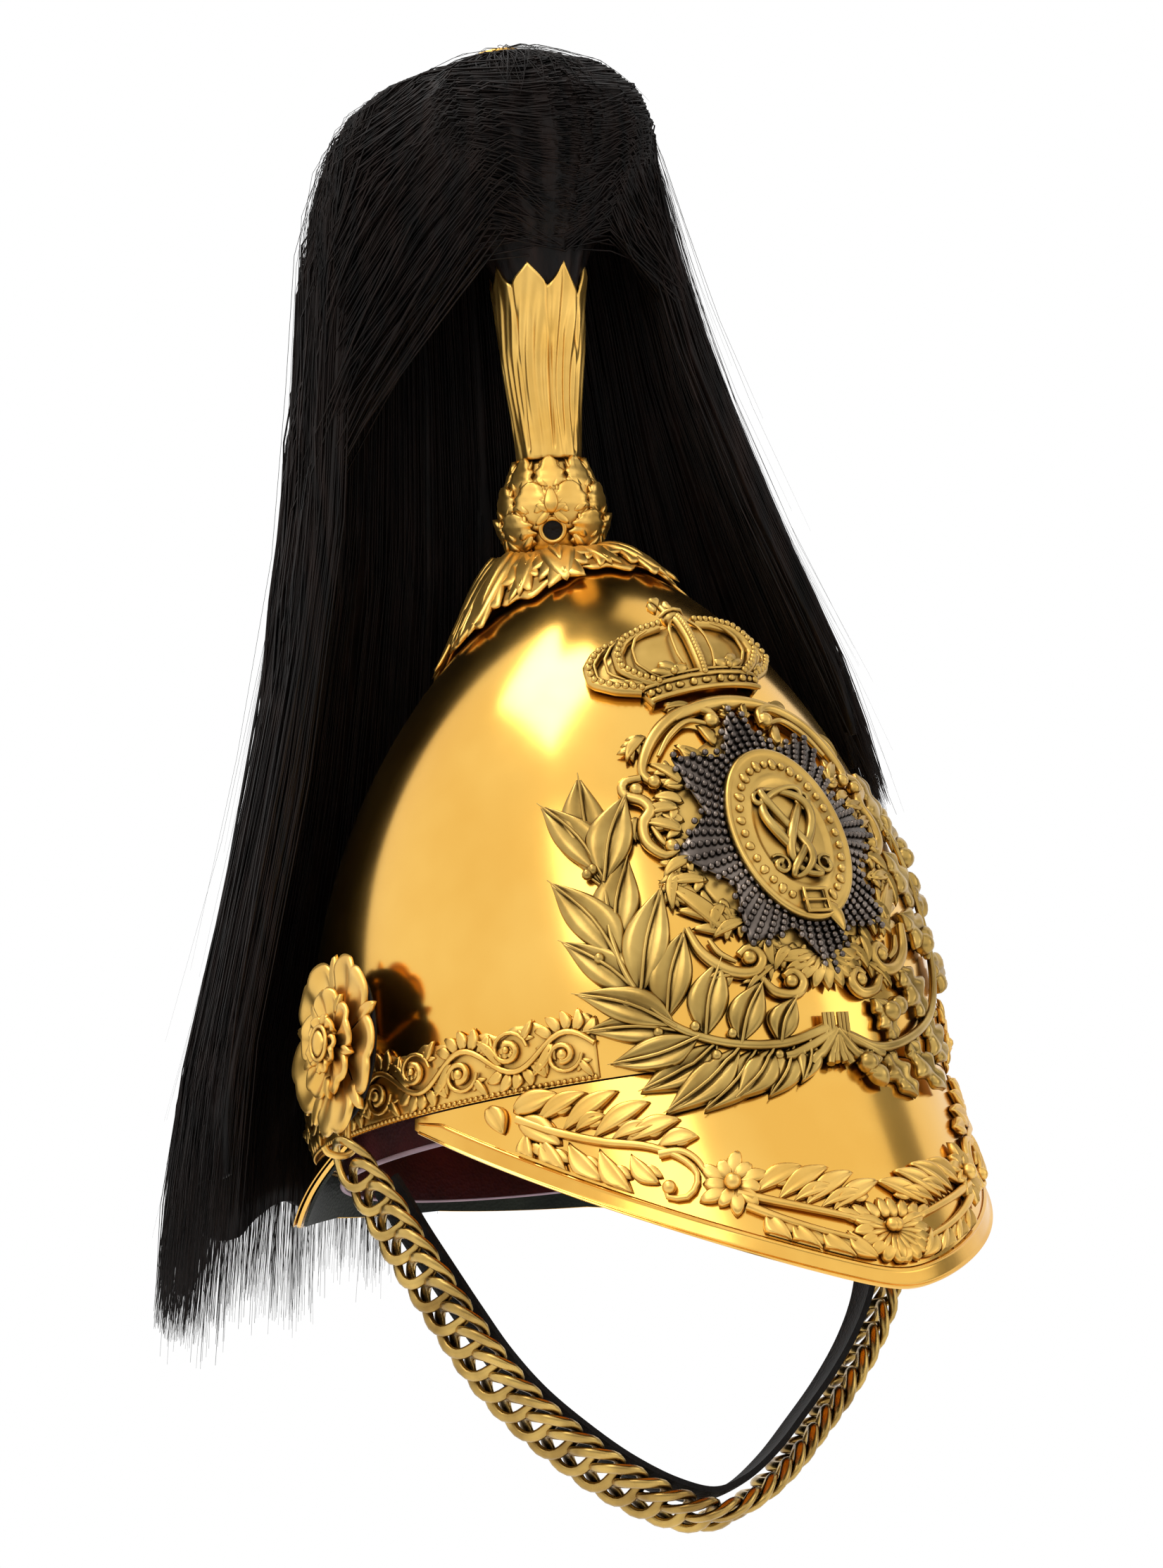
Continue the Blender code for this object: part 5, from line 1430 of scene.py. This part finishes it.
# Short hairs round the dome of the plume, some of them standing out
def domeHair(name, count, thick):
    runs = []
    for _ in range(count):
        turn = rng.uniform(0, 2 * math.pi)
        swing = rng.uniform(-0.5, 0.5)
        last = rng.uniform(1.5, 3.6)
        stand = rng.uniform(0.0, 2.0) if rng.random() < 0.8 else rng.uniform(3, 9)
        points = []
        for k in range(9):
            out, up = domeOutline(last * k / 8)
            out += stand * (k / 8)
            up += min(stand, 4) * (1 - k / 8) * 0.8
            way = turn + swing * (k / 8) ** 1.5
            points.append(Vector((out * math.sin(way), domeLean(up) + out * math.cos(way), up)))
        size = thick * rng.uniform(0.6, 1.2) * (0.5 if stand > 2 else 1)
        runs.append((points, [size] * 6 + [size * 0.8, size * 0.6, size * 0.2], False))
    return hairPiece(name, runs)


def topRosette():
    bm = bmesh.new()
    addBead(bm, Vector((0, 2.2, plume["top"] + 1.6)), 8.0, 32, 12)
    for vert in bm.verts:
        vert.co.z = plume["top"] + 1.2 + (vert.co.z - plume["top"] - 1.6) * 0.22
    for k in range(8):
        aim = 2 * math.pi * k / 8

        def chart(a, b, lift):
            return Vector((a, 2.2 + b, plume["top"] + 0.8 + lift * 0.7))
        addLeaf(bm, chart, (0, 0), (8.6 * math.sin(aim), 8.6 * math.cos(aim)), 5.0, 2.2, base=0.6, rib=0.4)
    return finishPiece("topRosette", bm, satinGilt, ("plume_rosette",))


maneMass()
strands("hairOuter", 2400, (-1.5, 1.8), 0.28, 12.0)
strands("hairInner", 850, (-7.0, -3.5), 0.36, 10.0)
frontHair("hairFront", 1500, 0.31)
domeHair("hairDome", 320, 0.2)
strands("hairStray", 460, (0.5, 4.5), 0.085, 14.0, stray=1.0)
topRosette()
print("plume made")

# ---- floor and soft light
studio = {"floor": -0.62, "white": 1.0}


def setStudio():
    bm = bmesh.new()
    bmesh.ops.create_grid(bm, x_segments=1, y_segments=1, size=6.0)
    bmesh.ops.translate(bm, vec=(0, 0, studio["floor"]), verts=bm.verts)
    mesh = bpy.data.meshes.new("floor")
    bm.to_mesh(mesh)
    bm.free()
    floor = bpy.data.objects.new("floor", mesh)
    scene.collection.objects.link(floor)
    paint = bpy.data.materials.new("floorPaint")
    paint.use_nodes = True
    paint.node_tree.nodes["Principled BSDF"].inputs["Base Color"].default_value = (0.86, 0.86, 0.86, 1)
    paint.node_tree.nodes["Principled BSDF"].inputs["Roughness"].default_value = 0.9
    mesh.materials.append(paint)
    world = bpy.data.worlds.new("world")
    world.use_nodes = True
    world.node_tree.nodes["Background"].inputs["Color"].default_value = (1, 1, 1, 1)
    world.node_tree.nodes["Background"].inputs["Strength"].default_value = studio["white"]
    scene.world = world
    for name, place, aim, size, power, color in (
            ("key", (-1.6, -1.1, 1.3), (0, 0, 0.1), 1.1, 9, (1, 0.97, 0.92)),
            ("fill", (1.6, -1.6, 0.5), (0, 0, 0.05), 1.0, 3, (1, 0.98, 0.95)),
            ("top", (-0.55, 0.1, 1.9), (0, 0, 0.1), 0.9, 16, (1, 0.99, 0.96))):
        light = bpy.data.objects.new(name, bpy.data.lights.new(name, "AREA"))
        light.data.size = size
        light.data.energy = power
        light.data.color = color
        light.location = place
        light.rotation_euler = (Vector(aim) - Vector(place)).to_track_quat("-Z", "Y").to_euler()
        scene.collection.objects.link(light)
    # grey cards, seen only as reflections in the gilt
    for name, place, width, height, shade in (
            ("cardStripe", (0.30, -0.22, 1.55), 0.30, 1.5, 0.05),
            ("cardSide", (1.30, -0.55, 0.35), 0.5, 1.6, 0.22),
            ("cardLow", (-0.5, -0.9, -0.58), 2.2, 1.2, 0.42)):
        bm = bmesh.new()
        bmesh.ops.create_grid(bm, x_segments=1, y_segments=1, size=0.5)
        bmesh.ops.scale(bm, vec=(width, height, 1), verts=bm.verts)
        turn = (Vector((0, 0, 0.1)) - Vector(place)).to_track_quat("-Z", "Y").to_matrix().to_4x4()
        bmesh.ops.transform(bm, matrix=Matrix.Translation(place) @ turn, verts=bm.verts)
        mesh = bpy.data.meshes.new(name)
        bm.to_mesh(mesh)
        bm.free()
        card = bpy.data.objects.new(name, mesh)
        scene.collection.objects.link(card)
        paint = bpy.data.materials.new(name)
        paint.use_nodes = True
        paint.node_tree.nodes["Principled BSDF"].inputs["Base Color"].default_value = (shade, shade, shade, 1)
        paint.node_tree.nodes["Principled BSDF"].inputs["Roughness"].default_value = 1.0
        mesh.materials.append(paint)
        card.visible_camera = False
        card.visible_shadow = False


setStudio()
print("studio set")
